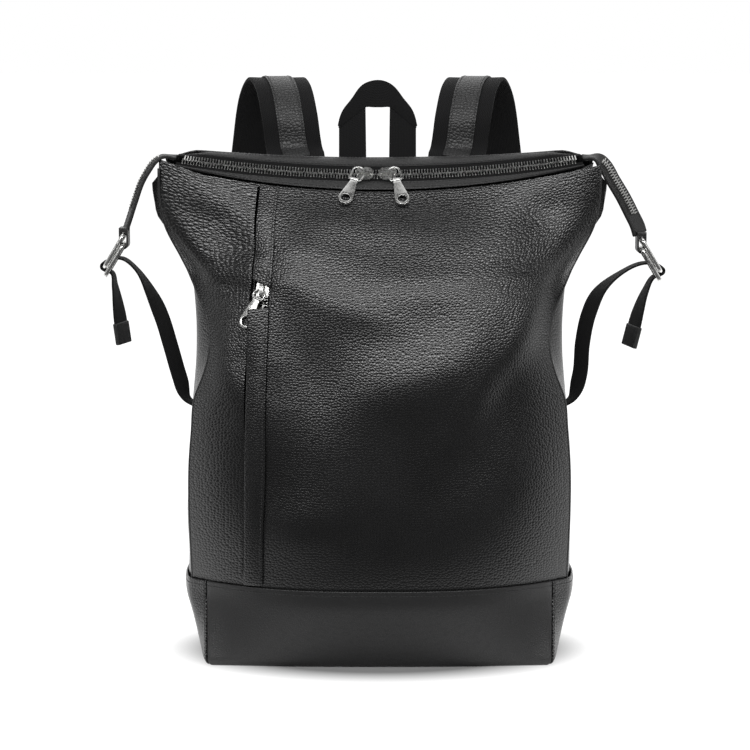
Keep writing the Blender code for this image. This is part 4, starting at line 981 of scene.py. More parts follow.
def rows_of(name, item_mesh, places, stuff, nodes=()):
    """Copies of an item at (point, ahead, outward) places, as one plain piece."""
    mesh = bpy.data.meshes.new(name)
    mesh.from_pydata([tuple(place[0]) for place in places], [], [])
    for slot, label in ((1, "ahead"), (2, "outward")):
        layer = mesh.attributes.new(label, "FLOAT_VECTOR", "POINT")
        layer.data.foreach_set("vector", [value for place in places for value in place[slot]])
    source = bpy.data.objects.new("item", item_mesh)
    SCENE.objects.link(source)
    holder = bpy.data.objects.new(name, mesh)
    SCENE.objects.link(holder)
    change = holder.modifiers.new("rows", "NODES")
    change.node_group = PLACING
    change[INPUTS["Item"]] = source
    change[INPUTS["Finish"]] = MATERIALS[stuff]
    made = baked(holder)
    made.name = name
    bpy.data.objects.remove(source, do_unlink=True)
    add_piece(name, made, stuff, nodes=nodes)


def stitch_mesh():
    """One stitch of thread: a short bead lying along X."""
    mesh = bpy.data.meshes.new("stitch")
    shape = bmesh.new()
    bmesh.ops.create_uvsphere(shape, u_segments=6, v_segments=5, radius=1)
    lying = Matrix.Rotation(math.radians(90), 3, "Y")
    bmesh.ops.rotate(shape, verts=shape.verts, cent=(0, 0, 0), matrix=lying)
    bmesh.ops.scale(shape, verts=shape.verts, vec=STITCH_SIZE)
    shape.to_mesh(mesh)
    shape.free()
    mesh.shade_smooth()
    return mesh


def stitches_along(points, outs):
    """Even places along a line of points with outward directions."""
    distance = [0.0]
    for a, b in zip(points, points[1:]):
        distance.append(distance[-1] + (b - a).length)
    count = max(int(distance[-1] / STITCH_PITCH), 1)
    places = []
    cell = 0
    for i in range(count):
        target = distance[-1] * (i + 0.5) / count
        while distance[cell + 1] < target:
            cell += 1
        part = (target - distance[cell]) / (distance[cell + 1] - distance[cell])
        ahead = (points[cell + 1] - points[cell]).normalized()
        outward = outs[cell].lerp(outs[cell + 1], part).normalized()
        places.append((points[cell].lerp(points[cell + 1], part), ahead, outward))
    return places


def strip_stitches(rows, thickness, inset, flip=1):
    """Two stitched lines near the edges of a strip's rows, on one face."""
    places = []
    for side in (-1, 1):
        points = []
        outs = []
        for row in rows:
            a, b = (row[0], row[-1]) if side < 0 else (row[-1], row[0])
            across = (b - a).normalized()
            points.append(a + across * inset)
            outs.append(across)
        normals = []
        for place, across in enumerate(outs):
            normals.append(across.cross(heading(points, place)).normalized() * -side * flip)
        lifted = [p + n * thickness / 2 for p, n in zip(points, normals)]
        places += stitches_along(lifted, normals)
    return places


# Body pieces
def make_front():
    """The front's leather with its folds and the slot for the pocket's zip."""
    below, beside, above = 9, 83, 35
    left, middle, right = 22, 4, 78
    levels = spread(PANEL_FOOT_Z, SLOT_Z[0], below + 1)[:-1]
    levels += spread(*SLOT_Z, beside + 1)[:-1] + spread(SLOT_Z[1], PANEL_TOP_Z, above + 1)
    rows = []
    for z in levels:
        half = front_half_width(z)
        centre = track_x(z) + strip_bend(z) * smoothstep(SLOT_Z[1], SLOT_Z[1] + 20 * MM, z)
        strip_edge = strip_x(z) - PLACKET_HALF_WIDTH
        columns = spread(-1, (strip_edge - STRIP_SLIT[0]) / half, left)
        columns.append((strip_edge + STRIP_SLIT[1]) / half)
        slot = [(centre + reach) / half for reach in (-POCKET_SLOT_HALF, POCKET_SLOT_HALF)]
        columns += spread(*slot, middle + 1)[:-1] + spread(slot[1], 1, right + 1)
        rows.append([front_leather_point(u, z) for u in columns])

    def open_cell(i, j):
        in_slot = below <= i < below + beside and left < j <= left + middle
        in_slit = j == left - 1 and SLIT_ROWS[0] <= i < len(levels) - SLIT_ROWS[1]
        return in_slot or in_slit

    skin("front_leather", rows, LEATHER, -1, "pebbled_leather", ["front_panel"], 0.6 * MM, open_cell)
    for name, side in SIDES.items():
        edge = [front_point(side, z) - front_normal(side * NEAR_EDGE, z) * WELT_SINK
                for z in spread(SEAM_Z - 3 * MM, PANEL_TOP_Z - 3 * MM, 90)]
        welt = tube_mesh("welt", edge, WELT_RADIUS, 10, closed=False)
        add_piece("edge_welt_" + name, welt, "smooth_leather")


def lining_ring(z):
    """An oval inside the panels and the gussets, a little rippled."""
    level = max(z, SEAM_Z)
    inside = min(front_half_width(level), back_half_width(level)) - LINING_INSET - LINING_GUSSET_ROOM
    front = front_point(0, level).y + LINING_INSET
    back = back_point(0, level).y - LINING_INSET
    draw = 1.0 if z >= SEAM_Z else LINING_FLOOR_SHARE
    ring = []
    for i in range(LINING_SIDES):
        turn = 2 * math.pi * i / LINING_SIDES
        bow = math.cos(turn)
        bend = math.sin(turn)
        reach = back if bend > 0 else -front
        wide = inside * math.copysign(abs(bow) ** LINING_ROUNDNESS, bow)
        place = Vector((wide, LINING_DEPTH_SHARE * reach * bend, 0))
        ripple = 1 - LINING_RIPPLE * (1 + noise.noise(Vector((3 * bow, 3 * bend, z * 8))))
        ring.append(draw * ripple * place + Vector((0, 0, z)))
    return ring


def make_lining():
    """The bag's lining, closed at its floor, and the cloth of the front pocket."""
    rows = [lining_ring(z) for z in spread(*LINING_Z, 40)]
    floor = [[Vector((p.x * k, p.y * k, LINING_Z[0])) for p in rows[0]] for k in (0.02, 0.3, 0.6, 0.85)]
    bag = thickened(grid_mesh("lining_bag", floor + rows, closed=True), LINING_THICKNESS, 0, 0.2 * MM)
    add_piece("lining_bag", bag, "lining", nodes=["main_lining"])
    rows = []
    for z in spread(*POCKET_BAG_Z, 40):
        rows.append([])
        for u in spread(*POCKET_BAG_REACH, 40):
            depth = LEATHER + POCKET_BAG_DEPTH + LINING_THICKNESS * noise.noise(Vector((u * 6, z * 20, 1)))
            rows[-1].append(off_front(u, z, -depth))
    skin("pocket_cloth", rows, LINING_THICKNESS, -1, "lining", ["pocket_bag"])


def make_back():
    rows = []
    for z in spread(PANEL_FOOT_Z, PANEL_TOP_Z, 70):
        row = []
        for u in spread(-1, 1, 71):
            wave = BACK_WAVE * noise.noise(Vector((u * 2.4, z * 11, 9.1))) * (1 - abs(u) ** 6)
            row.append(off_back(u, z, -max(wave, 0)))
        rows.append(row)
    skin("back_leather", rows, LEATHER, 1, "pebbled_leather", ["back_panel"], bevel=0.6 * MM)


def gusset_section(side, z, count):
    """The gusset at a height, tucked behind both panels' edges."""
    inset = LEATHER + GUSSET_GAP + GUSSET_LEATHER / 2
    front_tuck = front_point(side * (1 - SEAM_LAP / front_half_width(z)), z)
    front_tuck -= front_normal(side * AT_TUCK, z) * inset
    front_turn = front_point(side, z) - front_normal(side * NEAR_EDGE, z) * inset
    flare = smoothstep(FLANGE_Z[0], FLANGE_Z[1], z) * (1 - smoothstep(FLANGE_Z[2], FLANGE_Z[3], z))
    front_turn += Vector((side * FLANGE_OUT, 0.6 * FLANGE_OUT, 0)) * flare
    back_tuck = back_point(side * (1 - SEAM_LAP / back_half_width(z)), z)
    back_tuck -= back_normal(side * AT_TUCK, z) * inset
    back_turn = back_point(side, z) - back_normal(side * NEAR_EDGE, z) * inset
    pucker = GUSSET_PUCKER * noise.noise(Vector((side * 4, z * 26, 1.3)))
    middle = Vector((side * (gusset_x(z) + pucker), 0.5 * (front_turn.y + back_turn.y), z))
    return along([front_tuck, front_turn, middle, back_turn, back_tuck], count)


def make_gussets():
    for name, side in SIDES.items():
        rows = [gusset_section(side, z, 25) for z in spread(PANEL_FOOT_Z, GUSSET_TOP_Z, 66)]
        skin("gusset_leather_" + name, rows, GUSSET_LEATHER, 0, "pebbled_leather", ["gusset_" + name])


def base_seam(part, count):
    """The base band's plan at the seam."""
    z = SEAM_Z - 4 * MM
    front_corner = BASE_CORNER_X / front_half_width(z)
    back_corner = BASE_CORNER_X / back_half_width(z)
    if part == "front":
        return [off_front(u, z, BASE_STAND_OFF) for u in spread(-front_corner, front_corner, count)]
    if part == "back":
        return [off_back(u, z, BASE_STAND_OFF) for u in spread(-back_corner, back_corner, count)]
    side = SIDES[part]
    trim = BASE_TRIM / BASE_CORNER_X
    points = [off_front(side * u, z, BASE_STAND_OFF) for u in (front_corner + trim, 0.94, 0.97, 1.0)]
    points += [Vector((side * x * MM, y * MM, z)) for x, y in BASE_SIDE]
    points.append(off_back(side, z, BASE_STAND_OFF) + X_AXIS * side * MM)
    points += [off_back(side * u, z, BASE_STAND_OFF) for u in (0.97, 0.94, back_corner + trim)]
    return along(points, count)


def base_foot(part, count):
    if part in ("front", "back"):
        middle, ends = BASE_FOOT_FRONT if part == "front" else BASE_FOOT_BACK
        return [Vector((BASE_CORNER_X * s, middle + ends * s * s, 0)) for s in spread(-1, 1, count)]
    return along([Vector((SIDES[part] * x, y, 0)) * MM for x, y in BASE_FOOT_END], count)


def drawn_in(point, inset):
    long, deep = BASE_FOOT_SIZE
    return point.x * (1 - inset / long), point.y * (1 - inset / deep)


def base_row(part, height, count):
    """One row of the band; the lowest rows roll in as a rounded edge."""
    share = base_share(height)
    inset = 0.0
    if height < BASE_ROUND:
        inset = BASE_ROUND - math.sqrt(BASE_ROUND**2 - (BASE_ROUND - height) ** 2)
    row = []
    for foot, seam in zip(base_foot(part, count), base_seam(part, count)):
        x, y = drawn_in(foot.lerp(seam, share), inset * MM * BASE_ROLL)
        row.append(Vector((x, y, height * MM)))
    return row


def seam_stitches(part, count):
    """The stitched line along the top of one part of the band."""
    line = base_row(part, SEAM_Z / MM - BASE_STITCH_DROP, count)
    above = base_row(part, SEAM_Z / MM - 1, count)
    outs = []
    for place, point in enumerate(line):
        outward = Vector((point.x, 0, 0))
        if part in ("front", "back"):
            outward = Vector((point.x * 0.2, point.y, 0))
        normal = heading(line, place).cross(above[place] - point).normalized()
        outs.append(facing(normal, outward))
    return stitches_along(line, outs)


def corner_stitches(rows, edge, inner):
    """The stitched line up one end of the band's side, between its edge and the next column."""
    column = [row[edge].lerp(row[inner], 0.55) for row in rows]
    outs = []
    for place, row in enumerate(rows):
        normal = (row[inner] - row[edge]).cross(heading(column, place)).normalized()
        outs.append(facing(normal, Vector((column[place].x, column[place].y * 0.6, 0))))
    return stitches_along(column, outs)


def make_base():
    places = []
    for part, offset in (("front", -1), ("back", 1), ("left", 1), ("right", -1)):
        straight = part in ("front", "back")
        count = 61 if straight else 33
        rows = [base_row(part, height, count) for height in BASE_HEIGHTS]
        stuff = "smooth_leather" if straight else "pebbled_leather"
        skin("base_leather_" + part, rows, BASE_LEATHER, offset, stuff, ["base_" + part], bevel=0.7 * MM)
        places += seam_stitches(part, count)
        if not straight:
            places += corner_stitches(rows[4:], 0, 1) + corner_stitches(rows[4:], -1, -2)
    rows_of("base_stitches", stitch_mesh(), places, "thread")
    around = base_foot("front", 31) + base_foot("right", 13)[1:-1]
    around += list(reversed(base_foot("back", 31))) + list(reversed(base_foot("left", 13)))[1:-1]
    outline = [drawn_in(point, BASE_LEATHER + BASE_INSET) for point in around]
    rows = []
    for scale, height in BOTTOM_RINGS:
        rows.append([Vector((x * scale, y * scale, height * MM)) for x, y in outline])
    mesh = thickened(grid_mesh("base_bottom_leather", rows, closed=True), BASE_LEATHER * 0.9, 0, 0.2 * MM)
    add_piece("base_bottom_leather", mesh, "smooth_leather", nodes=["base_bottom"])


# Main zip
def raised_outline(outline, low, rise):
    """A block on a flat outline, still open to edits."""
    shape = bmesh.new()
    face = shape.faces.new([shape.verts.new((x, y, low)) for x, y in outline])
    raised = bmesh.ops.extrude_face_region(shape, geom=[face])
    verts = [part for part in raised["geom"] if isinstance(part, bmesh.types.BMVert)]
    bmesh.ops.translate(shape, verts=verts, vec=(0, 0, rise))
    bmesh.ops.recalc_face_normals(shape, faces=shape.faces)
    return shape


def tooth_mesh():
    """One metal tooth: a jaw on the tape's edge, a neck and a round head, pointing to -Y."""
    mesh = bpy.data.meshes.new("tooth")
    outline = [(w * MM, y * MM) for y, w in TOOTH_PROFILE]
    outline += [(-w * MM, y * MM) for y, w in reversed(TOOTH_PROFILE)]
    shape = raised_outline(outline, -TOOTH_HALF_HEIGHT, 2 * TOOTH_HALF_HEIGHT)
    rim = [edge for edge in shape.edges if abs(edge.verts[0].co.z - edge.verts[1].co.z) < 1e-6]
    bmesh.ops.bevel(shape, geom=rim, offset=0.3 * MM, segments=2, affect="EDGES")
    shape.to_mesh(mesh)
    shape.free()
    return smooth_by_angle(mesh, 45)


def main_teeth(sign):
    """Places of one row of teeth: -1 for the front's, 1 for the back's, which folds down at its ends."""
    half = ZIP_END_ANGLE - 1.5 * TOOTH_PITCH / ZIP_RADIUS
    count = int(2 * half * ZIP_RADIUS / TOOTH_PITCH)
    places = []
    for i in range(count):
        angle = (i - count / 2 + 0.5 + TOOTH_STAGGER * sign) * TOOTH_PITCH / ZIP_RADIUS
        ahead = (X_AXIS * math.cos(angle) + ZIP_UP * math.sin(angle)) * sign
        fold = 0
        point = zip_point(angle, -TOOTH_ROOT)
        if sign > 0:
            fold = TEETH_FOLD_SHARE * end_fold(angle / ZIP_END_ANGLE)
            point = behind_chain(angle, TOOTH_ROOT, fold, 0)
        outward = Matrix.Rotation(-fold, 3, ahead) @ ZIP_OUT
        places.append((point, ahead, outward))
    return places


def make_main_zip():
    lift = TAPE_THICKNESS / 2 + FACING_THICKNESS / 2
    puffs = {name: [lift + size * math.sin(math.pi * k / 8) for k in range(9)]
             for name, size in FACING_PUFF.items()}
    tapes = {"front": [], "back": []}
    facings = {"front": [], "back": []}
    for angle in spread(-ZIP_END_ANGLE, ZIP_END_ANGLE, 110):
        u = angle / ZIP_END_ANGLE
        margin = swell(BACK_MARGIN, u)
        reaches = spread(TAPE_INNER, TAPE_OUTER, 4)
        tapes["front"].append([zip_point(angle, -reach) for reach in reaches])
        tapes["back"].append([behind_chain(angle, reach, end_fold(u) * reach / margin, 0)
                              for reach in reaches])
        reaches = spread(FACING_INNER, swell(FRONT_MARGIN, u) - FRONT_SEAM, 9)
        facings["front"].append([zip_point(angle, -reach, puff)
                                 for reach, puff in zip(reaches, puffs["front"])])
        reaches = spread(FACING_INNER, margin - BACK_SEAM, 9)
        fold = BACK_FOLD + end_fold(u)
        facings["back"].append([behind_chain(angle, reach, fold * reach / margin, puff)
                                for reach, puff in zip(reaches, puffs["back"])])
    for name, rows in tapes.items():
        skin("zip_cloth_" + name, rows, TAPE_THICKNESS, 0, "zip_tape", ["zip_tape_" + name], 0.2 * MM)
    for name, rows in facings.items():
        skin("zip_leather_" + name, rows, FACING_THICKNESS, 0, "edge_leather", ["zip_facing_" + name],
             0.5 * MM)
    tooth = tooth_mesh()
    rows_of("zip_metal_front", tooth.copy(), main_teeth(-1), "nickel", nodes=["zip_teeth_front"])
    rows_of("zip_metal_back", tooth, main_teeth(1), "nickel", nodes=["zip_teeth_back"])
    places = []
    for name, column in (("front", 1), ("front", 6), ("back", 1), ("back", 7)):
        line = [row[column] + ZIP_OUT * FACING_STITCH_LIFT for row in facings[name]]
        places += stitches_along(line, [ZIP_OUT] * len(line))
    rows_of("zip_stitches", stitch_mesh(), places, "thread")


# Sliders and pulls
def bevelled_block(name, outline, low, high, bevel):
    """A block with rounded edges on a flat outline, all in mm."""
    mesh = bpy.data.meshes.new(name)
    shape = raised_outline([(x * MM, y * MM) for x, y in outline], low * MM, (high - low) * MM)
    sharp = [e for e in shape.edges if len(e.link_faces) == 2 and e.calc_face_angle() > math.radians(40)]
    bmesh.ops.bevel(shape, geom=sharp, offset=bevel * MM, segments=3, affect="EDGES", clamp_overlap=True)
    shape.to_mesh(mesh)
    shape.free()
    return smooth_by_angle(mesh, 35)


def slider_mesh(name, outward):
    """A slider: two shaped plates with turned edges, a wedge between them and a bridge on top."""
    half = [(x * outward, y) for x, y in SLIDER_HALF]
    plan = half + [(x, -y) for x, y in reversed(half)]
    low, high = SLIDER_PLATE
    parts = [bevelled_block("plate", plan, low, high, 0.45), bevelled_block("plate", plan, -high, -low, 0.45)]
    wedge = [(x * outward, y) for x, y in SLIDER_WEDGE]
    parts.append(bevelled_block("wedge", wedge, -SLIDER_FLANGE[1], SLIDER_FLANGE[1], 0.1))
    low, high = SLIDER_FLANGE
    for side in (-1, 1):
        flange = [(x, y * side) for x, y in half[2:]]
        flange += [(x, (y - FLANGE_WALL) * side) for x, y in reversed(half[2:])]
        parts.append(bevelled_block("flange", flange, low, high, 0.15))
        parts.append(bevelled_block("flange", flange, -high, -low, 0.15))
    bridge = bevelled_block("bridge", BRIDGE_ARCH, -BRIDGE_HALF_WIDTH, BRIDGE_HALF_WIDTH, 0.4)
    stand = Matrix.Rotation(math.radians(90), 4, "X")
    pieces = [(part, Matrix.Identity(4)) for part in parts] + [(bridge, stand)]
    return smooth_by_angle(joined(name, pieces), 35)


def link_mesh(name, crown):
    half = LINK_HALF_WIDTH
    drop = -LINK_DROP
    outline = arc((0, crown - half), half, 0, 180, 25)
    outline += arc((-half + LINK_CORNER, drop + LINK_CORNER), LINK_CORNER, 180, 270, 7)
    outline += arc((half - LINK_CORNER, drop + LINK_CORNER), LINK_CORNER, 270, 360, 7)
    return tube_mesh(name, [Vector((x, y, 0)) for x, y in outline], LINK_WIRE, 12)


def pull_mesh(name):
    """A tear-drop tab with a hole at its foot and a barrel round the link."""
    foot = (0, -PULL_LENGTH)
    outline = [(PULL_NECK_HALF, -PULL_TOP), (-PULL_NECK_HALF, -PULL_TOP)]
    outline += [(-x, y) for x, y in PULL_SIDE]
    outline += arc(foot, PULL_END_RADIUS, 172, 368, 31)
    outline += reversed(PULL_SIDE)
    hole = list(reversed(arc(foot, PULL_HOLE_RADIUS, 0, 348.75, 32)))
    tab = outline_mesh("tab", [outline, hole], PULL_THICKNESS, 0.4 * MM)
    turns = [2 * math.pi * k / 20 for k in range(20)]
    rows = []
    for x, radius in BARREL_PROFILE:
        rows.append([Vector((x * MM, radius * MM * math.cos(t), radius * MM * math.sin(t))) for t in turns])
    barrel = grid_mesh("barrel", rows, closed=True)
    return smooth_by_angle(joined(name, [(tab, Matrix.Identity(4)), (barrel, Matrix.Identity(4))]), 40)


def hang_slider(kind, label, frame_of, hang, outward, crown, level):
    """A slider, its link and its pull, each on its own body."""
    suffix = "_" + label if label else ""
    below = hang @ Matrix.Translation((0, -LINK_DROP, 0)) @ level
    for what, mesh, matrix in (("slider", slider_mesh("slider", outward), frame_of),
                               ("link", link_mesh("link", crown), hang),
                               ("pull", pull_mesh("pull"), below)):
        body = kind + "_" + what + suffix
        piece = add_piece(body + "_metal", moved(mesh, matrix), "nickel", body, [body])
        piece.data.name = body + "_metal"


def make_main_sliders():
    lifted = Matrix.Rotation(-PULL_REST_LIFT, 4, "X")
    for name, side in SIDES.items():
        place = zip_frame(math.asin(SLIDER_REST_X[name] / ZIP_RADIUS))
        hang = place @ Matrix.Translation((side * BRIDGE_POST_X, 0, LINK_HEIGHT))
        hang = hang @ Matrix.Rotation(LINK_TILT[name], 4, "Z")
        hang_slider("main", name, place, hang, side, LINK_HALF_WIDTH, lifted)


# Front pocket
def track_point(z):
    return front_point(track_x(z) / front_half_width(z), z)


def pocket_frame():
    z = POCKET_REST[1]
    u = POCKET_REST[0] / front_half_width(z)
    out = front_normal(u, z)
    up = (track_point(z + MM) - track_point(z - MM)).normalized()
    out = square_to(out, up)
    return frame_matrix(front_point(u, z) - out * POCKET_SINK, up, out.cross(up), out)


POCKET_PLACE = pocket_frame()
POCKET_UP = POCKET_PLACE.col[0].to_3d()
POCKET_IN = square_to(Y_AXIS, POCKET_UP)
POCKET_AXIS = POCKET_UP.cross(POCKET_IN)
POCKET_CENTRE = track_point(POCKET_REST[1]) + POCKET_IN * FRONT_RADIUS


def pocket_turn(angle):
    turn = Matrix.Rotation(angle, 4, POCKET_AXIS)
    return Matrix.Translation(POCKET_CENTRE) @ turn @ Matrix.Translation(-POCKET_CENTRE) @ POCKET_PLACE


def strip_rows(low, high, count, notch):
    """The pocket's leather strip: sewn along its right edge, standing free along its left."""
    flap_foot, flap_rise = PLACKET_FLAP
    rows = []
    for i in range(count):
        row = []
        for part in spread(-1, 1, 9):
            z = low + (high - low) * i / (count - 1)
            if notch == "top":
                z -= NOTCH_TOP_SLOPE * (1 - part) / 2 * (1 - i / (count - 1)) ** 6
                flap = flap_foot * (1 - smoothstep(*FLAT_TOP_Z, z))
                free = 1 - smoothstep(NOTCH_TOP_Z, NOTCH_TOP_Z + FREE_REACH, z)
            else:
                z -= NOTCH_FOOT_SLOPE * (1 + part) / 2 * (i / (count - 1)) ** 8
                flap = flap_foot + flap_rise * smoothstep(NOTCH_FOOT_Z - FLAP_REACH, NOTCH_FOOT_Z, z)
                free = 1
            u = (strip_x(z) - part * PLACKET_HALF_WIDTH) / front_half_width(z)
            lift = PLACKET_GAP + PLACKET_LEATHER / 2 + flap * (part + 1) / 2
            lift += PLACKET_CROWN * (1 - part * part)
            normal = front_normal(u, z)
            over_zip = off_front(u, z, max(0, front_relief(strip_x(z) / front_half_width(z), z)))
            place = front_leather_point(u, z).lerp(over_zip, free * smoothstep(-1, -0.2, part))
            row.append(place + normal * lift)
        rows.append(row)
    return rows


def make_pocket():
    angles = spread(POCKET_FOOT_ANGLE + POCKET_TRIM, POCKET_TOP_ANGLE - POCKET_TRIM, 60)
    reaches = spread(TAPE_INNER, POCKET_TAPE_OUTER, 4)
    for name, side in (("left", 1), ("right", -1)):
        rows = [[pocket_turn(a) @ Vector((0, side * reach, 0)) for reach in reaches] for a in angles]
        skin("pocket_cloth_" + name, rows, TAPE_THICKNESS, 0, "zip_tape", ["pocket_tape_" + name], 0.2 * MM)
        count = int((angles[-1] - angles[0]) * FRONT_RADIUS / TOOTH_PITCH)
        places = []
        for i in range(count):
            turn = pocket_turn(angles[0] + (i + 0.5 + TOOTH_STAGGER * side) * TOOTH_PITCH / FRONT_RADIUS)
            point = turn @ Vector((0, side * TOOTH_ROOT, 0))
            places.append((point, turn.col[0].to_3d() * side, turn.col[2].to_3d()))
        rows_of("pocket_metal_" + name, tooth_mesh(), places, "nickel", nodes=["pocket_teeth_" + name])
    upper = strip_rows(NOTCH_TOP_Z, PANEL_TOP_Z - 1.5 * MM, 40, "top")
    lower = strip_rows(PLACKET_FOOT_Z, NOTCH_FOOT_Z, 90, "foot")
    skin("strip_upper", upper, PLACKET_LEATHER, 0, "pebbled_leather", ["placket_upper"], bevel=0.5 * MM)
    skin("strip_lower", lower, PLACKET_LEATHER, 0, "pebbled_leather", ["placket_lower"], bevel=0.5 * MM)
    places = []
    for rows in (upper, lower):
        line = [row[0] + (row[1] - row[0]) * STRIP_STITCH_PLACE for row in rows]
        outs = [front_normal(STRIP_SIDE, max(min(p.z, PANEL_TOP_Z - 2 * MM), PANEL_FOOT_Z)) for p in line]
        lift = PLACKET_LEATHER / 2 + STRIP_STITCH_LIFT
        places += stitches_along([p + n * lift for p, n in zip(line, outs)], outs)
    rows_of("pocket_stitches", stitch_mesh(), places, "thread")
    hang = POCKET_PLACE @ Matrix.Translation((0, 0, LINK_HEIGHT))
    hang = hang @ Matrix.Rotation(math.radians(-90) + POCKET_LINK_TILT, 4, "Z")
    hang = hang @ Matrix.Rotation(-POCKET_LINK_LIFT, 4, "X")
    hang_slider("pocket", "", POCKET_PLACE, hang, 1, 0.0, Matrix.Rotation(POCKET_LINK_LIFT, 4, "X"))


# Zip tails, ring buckles and side webbing
def make_tail(name):
    twist = TAIL_TWIST[name]
    side = SIDES[name]

    def across(part):
        turned = X_AXIS * side * math.sin(twist) + Y_AXIS * math.cos(twist)
        return ZIP_UP.lerp(turned, smoothstep(*TAIL_TURN, part))

    curve = curve_through(millimetres(TAIL_ROUTE[name]))
    centres = [curve(part) for part in spread(0, 1, 60)]
    last = len(centres) - 1
    rows = ribbon_rows(centres, across, TAIL_WIDTH, 9)
    for place, (row, centre) in enumerate(zip(rows, centres)):
        share = TAIL_START_SHARE
        share += (1 - TAIL_START_SHARE) * smoothstep(0, TAIL_START_REACH, place / last)
        rows[place] = [centre + (point - centre) * share for point in row]
    skin("tail_leather_" + name, rows, TAIL_THICKNESS, 0, "edge_leather", ["zip_tail_" + name], 0.9 * MM)
    outward = ZIP_OUT + X_AXIS * side
    stitch_lines = [[], []]
    outs = []
    for place, point in enumerate(centres):
        if place / last < TAIL_START_REACH:
            continue
        tangent = heading(centres, place).normalized()
        out = facing(tangent.cross(across(place / last)).normalized(), outward)
        outs.append(out)
        cross = square_to(across(place / last), tangent)
        for line, s in zip(stitch_lines, (-TAIL_STITCH_PLACE, TAIL_STITCH_PLACE)):
            line.append(point + cross * TAIL_WIDTH * s + out * TAIL_THICKNESS / 2)
    places = [place for line in stitch_lines for place in stitches_along(line, outs)]
    rows_of("tail_stitches_" + name, stitch_mesh(), places, "thread")
    length = sum((b - a).length for a, b in zip(centres, centres[1:]))
    first, beyond = [int(share * length / TOOTH_PITCH) for share in TAIL_TEETH]
    places = []
    for i in range(first, beyond):
        for sign in (-1, 1):
            part = (i + 0.5 + TOOTH_STAGGER * sign) * TOOTH_PITCH / length
            tangent = (curve(min(part + 0.01, 1)) - curve(max(part - 0.01, 0))).normalized()
            cross = square_to(across(part), tangent)
            out = facing(cross.cross(tangent), outward)
            base = curve(part) + out * (TAIL_THICKNESS / 2 + TAIL_TOOTH_LIFT)
            ahead = cross.cross(out) * sign
            places.append((base + cross * sign * TOOTH_ROOT, ahead, out))
    rows_of("tail_metal_" + name, tooth_mesh(), places, "nickel", nodes=["tail_teeth_" + name])


def ring_outline():
    half = RING_HALF_WIDTH
    bar = RING_BAR_CORNER
    outline = arc((-half + bar, bar), bar, 270, 180, 7)
    outline += arc((-half + RING_CORNER, RING_REACH - RING_CORNER), RING_CORNER, 180, 90, 9)
    outline += arc((half - RING_CORNER, RING_REACH - RING_CORNER), RING_CORNER, 90, 0, 9)
    outline += arc((half - bar, bar), bar, 0, -90, 7)
    return [Vector((x, y, 0)) for x, y in outline]


def ring_reach(side):
    """The way both rings of a buckle lean out and down."""
    return X_AXIS * side * math.cos(RING_SLOPE) - Z_AXIS * math.sin(RING_SLOPE)


def make_buckle(name):
    side = SIDES[name]
    place = Vector(BUCKLE_PLACE[name]) * MM
    across = -Y_AXIS
    reach = ring_reach(side)
    for ring, sign in (("upper", 1), ("lower", -1)):
        matrix = frame_matrix(place + Z_AXIS * sign * RING_SPACING / 2, across, reach, across.cross(reach))
        body = "ring_%s_%s" % (ring, name)
        wire = moved(tube_mesh(body, ring_outline(), RING_WIRE), matrix)
        # The rings take the lighter copy of nickel, painted light
        add_piece(body + "_metal", wire, "lit_ring_nickel", body, [body])
    hole_half = RING_WIRE + LOOP_PLAY
    hole_top = RING_SPACING / 2
    outer_half = hole_half + LOOP_WALL
    hole = arc((0, hole_top), hole_half, 0, 180, 15) + arc((0, -hole_top), hole_half, 180, 360, 15)
    outer = [(outer_half, hole_top + LOOP_NECK), (-outer_half, hole_top + LOOP_NECK)]
    outer += arc((0, -hole_top), outer_half, 180, 360, 21)
    mesh = outline_mesh("loop", [outer, list(reversed(hole))], 2 * LOOP_HALF_WIDTH, 0.45 * MM)
    upright = frame_matrix(place, X_AXIS, Z_AXIS, -Y_AXIS)
    loop = smooth_by_angle(moved(mesh, upright), 40)
    add_piece("loop_leather_" + name, loop, "smooth_leather", nodes=["tail_loop_" + name])


def make_side_strap(name):
    side = SIDES[name]
    place = Vector(BUCKLE_PLACE[name]) * MM
    ring_end = place + Z_AXIS * RING_SPACING / 2 + ring_reach(side) * RING_REACH
    turn = RING_WIRE + WEBBING / 2 + RING_PLAY
    points = millimetres(SIDE_ROUTE[name])
    for degrees in (80, 20, -30, -80):
        angle = math.radians(degrees)
        points.append(ring_end + X_AXIS * side * turn * math.cos(angle) + Z_AXIS * turn * math.sin(angle))
    points.append(ring_end + Vector((-side * BEHIND_RING[0], 0, -BEHIND_RING[1])))
    points += millimetres(TAIL_END_ROUTE[name])
    centres = along(points, 150)

    def across(part):
        start, far = SIDE_TWIST
        turned = start * smoothstep(*SIDE_TWIST_START, part) * (1 - smoothstep(*SIDE_TWIST_FADE, part))
        turned += far * smoothstep(*SIDE_TWIST_END, part)
        return Y_AXIS * math.cos(turned) - X_AXIS * side * math.sin(turned)

    ribbon("side_webbing_" + name, centres, across, SIDE_WEBBING, WEBBING, ["side_strap_" + name])
    end = centres[-1]
    down = (centres[-1] - centres[-2]).normalized()
    tip = [end + down * (TIP_LENGTH * i / 11 - TIP_LAP) for i in range(12)]
    rows = ribbon_rows(tip, lambda part: across(1), SIDE_WEBBING + MM, 7)
    skin("tip_leather_" + name, rows, TIP_THICKNESS, 0, "smooth_leather", ["strap_tip_" + name], 1.0 * MM)
    places = []
    for flip in (1, -1):
        places += strip_stitches(rows[1:-1], TIP_THICKNESS, TIP_STITCH_INSET, flip)
    rows_of("tip_stitches_" + name, stitch_mesh(), places, "thread")


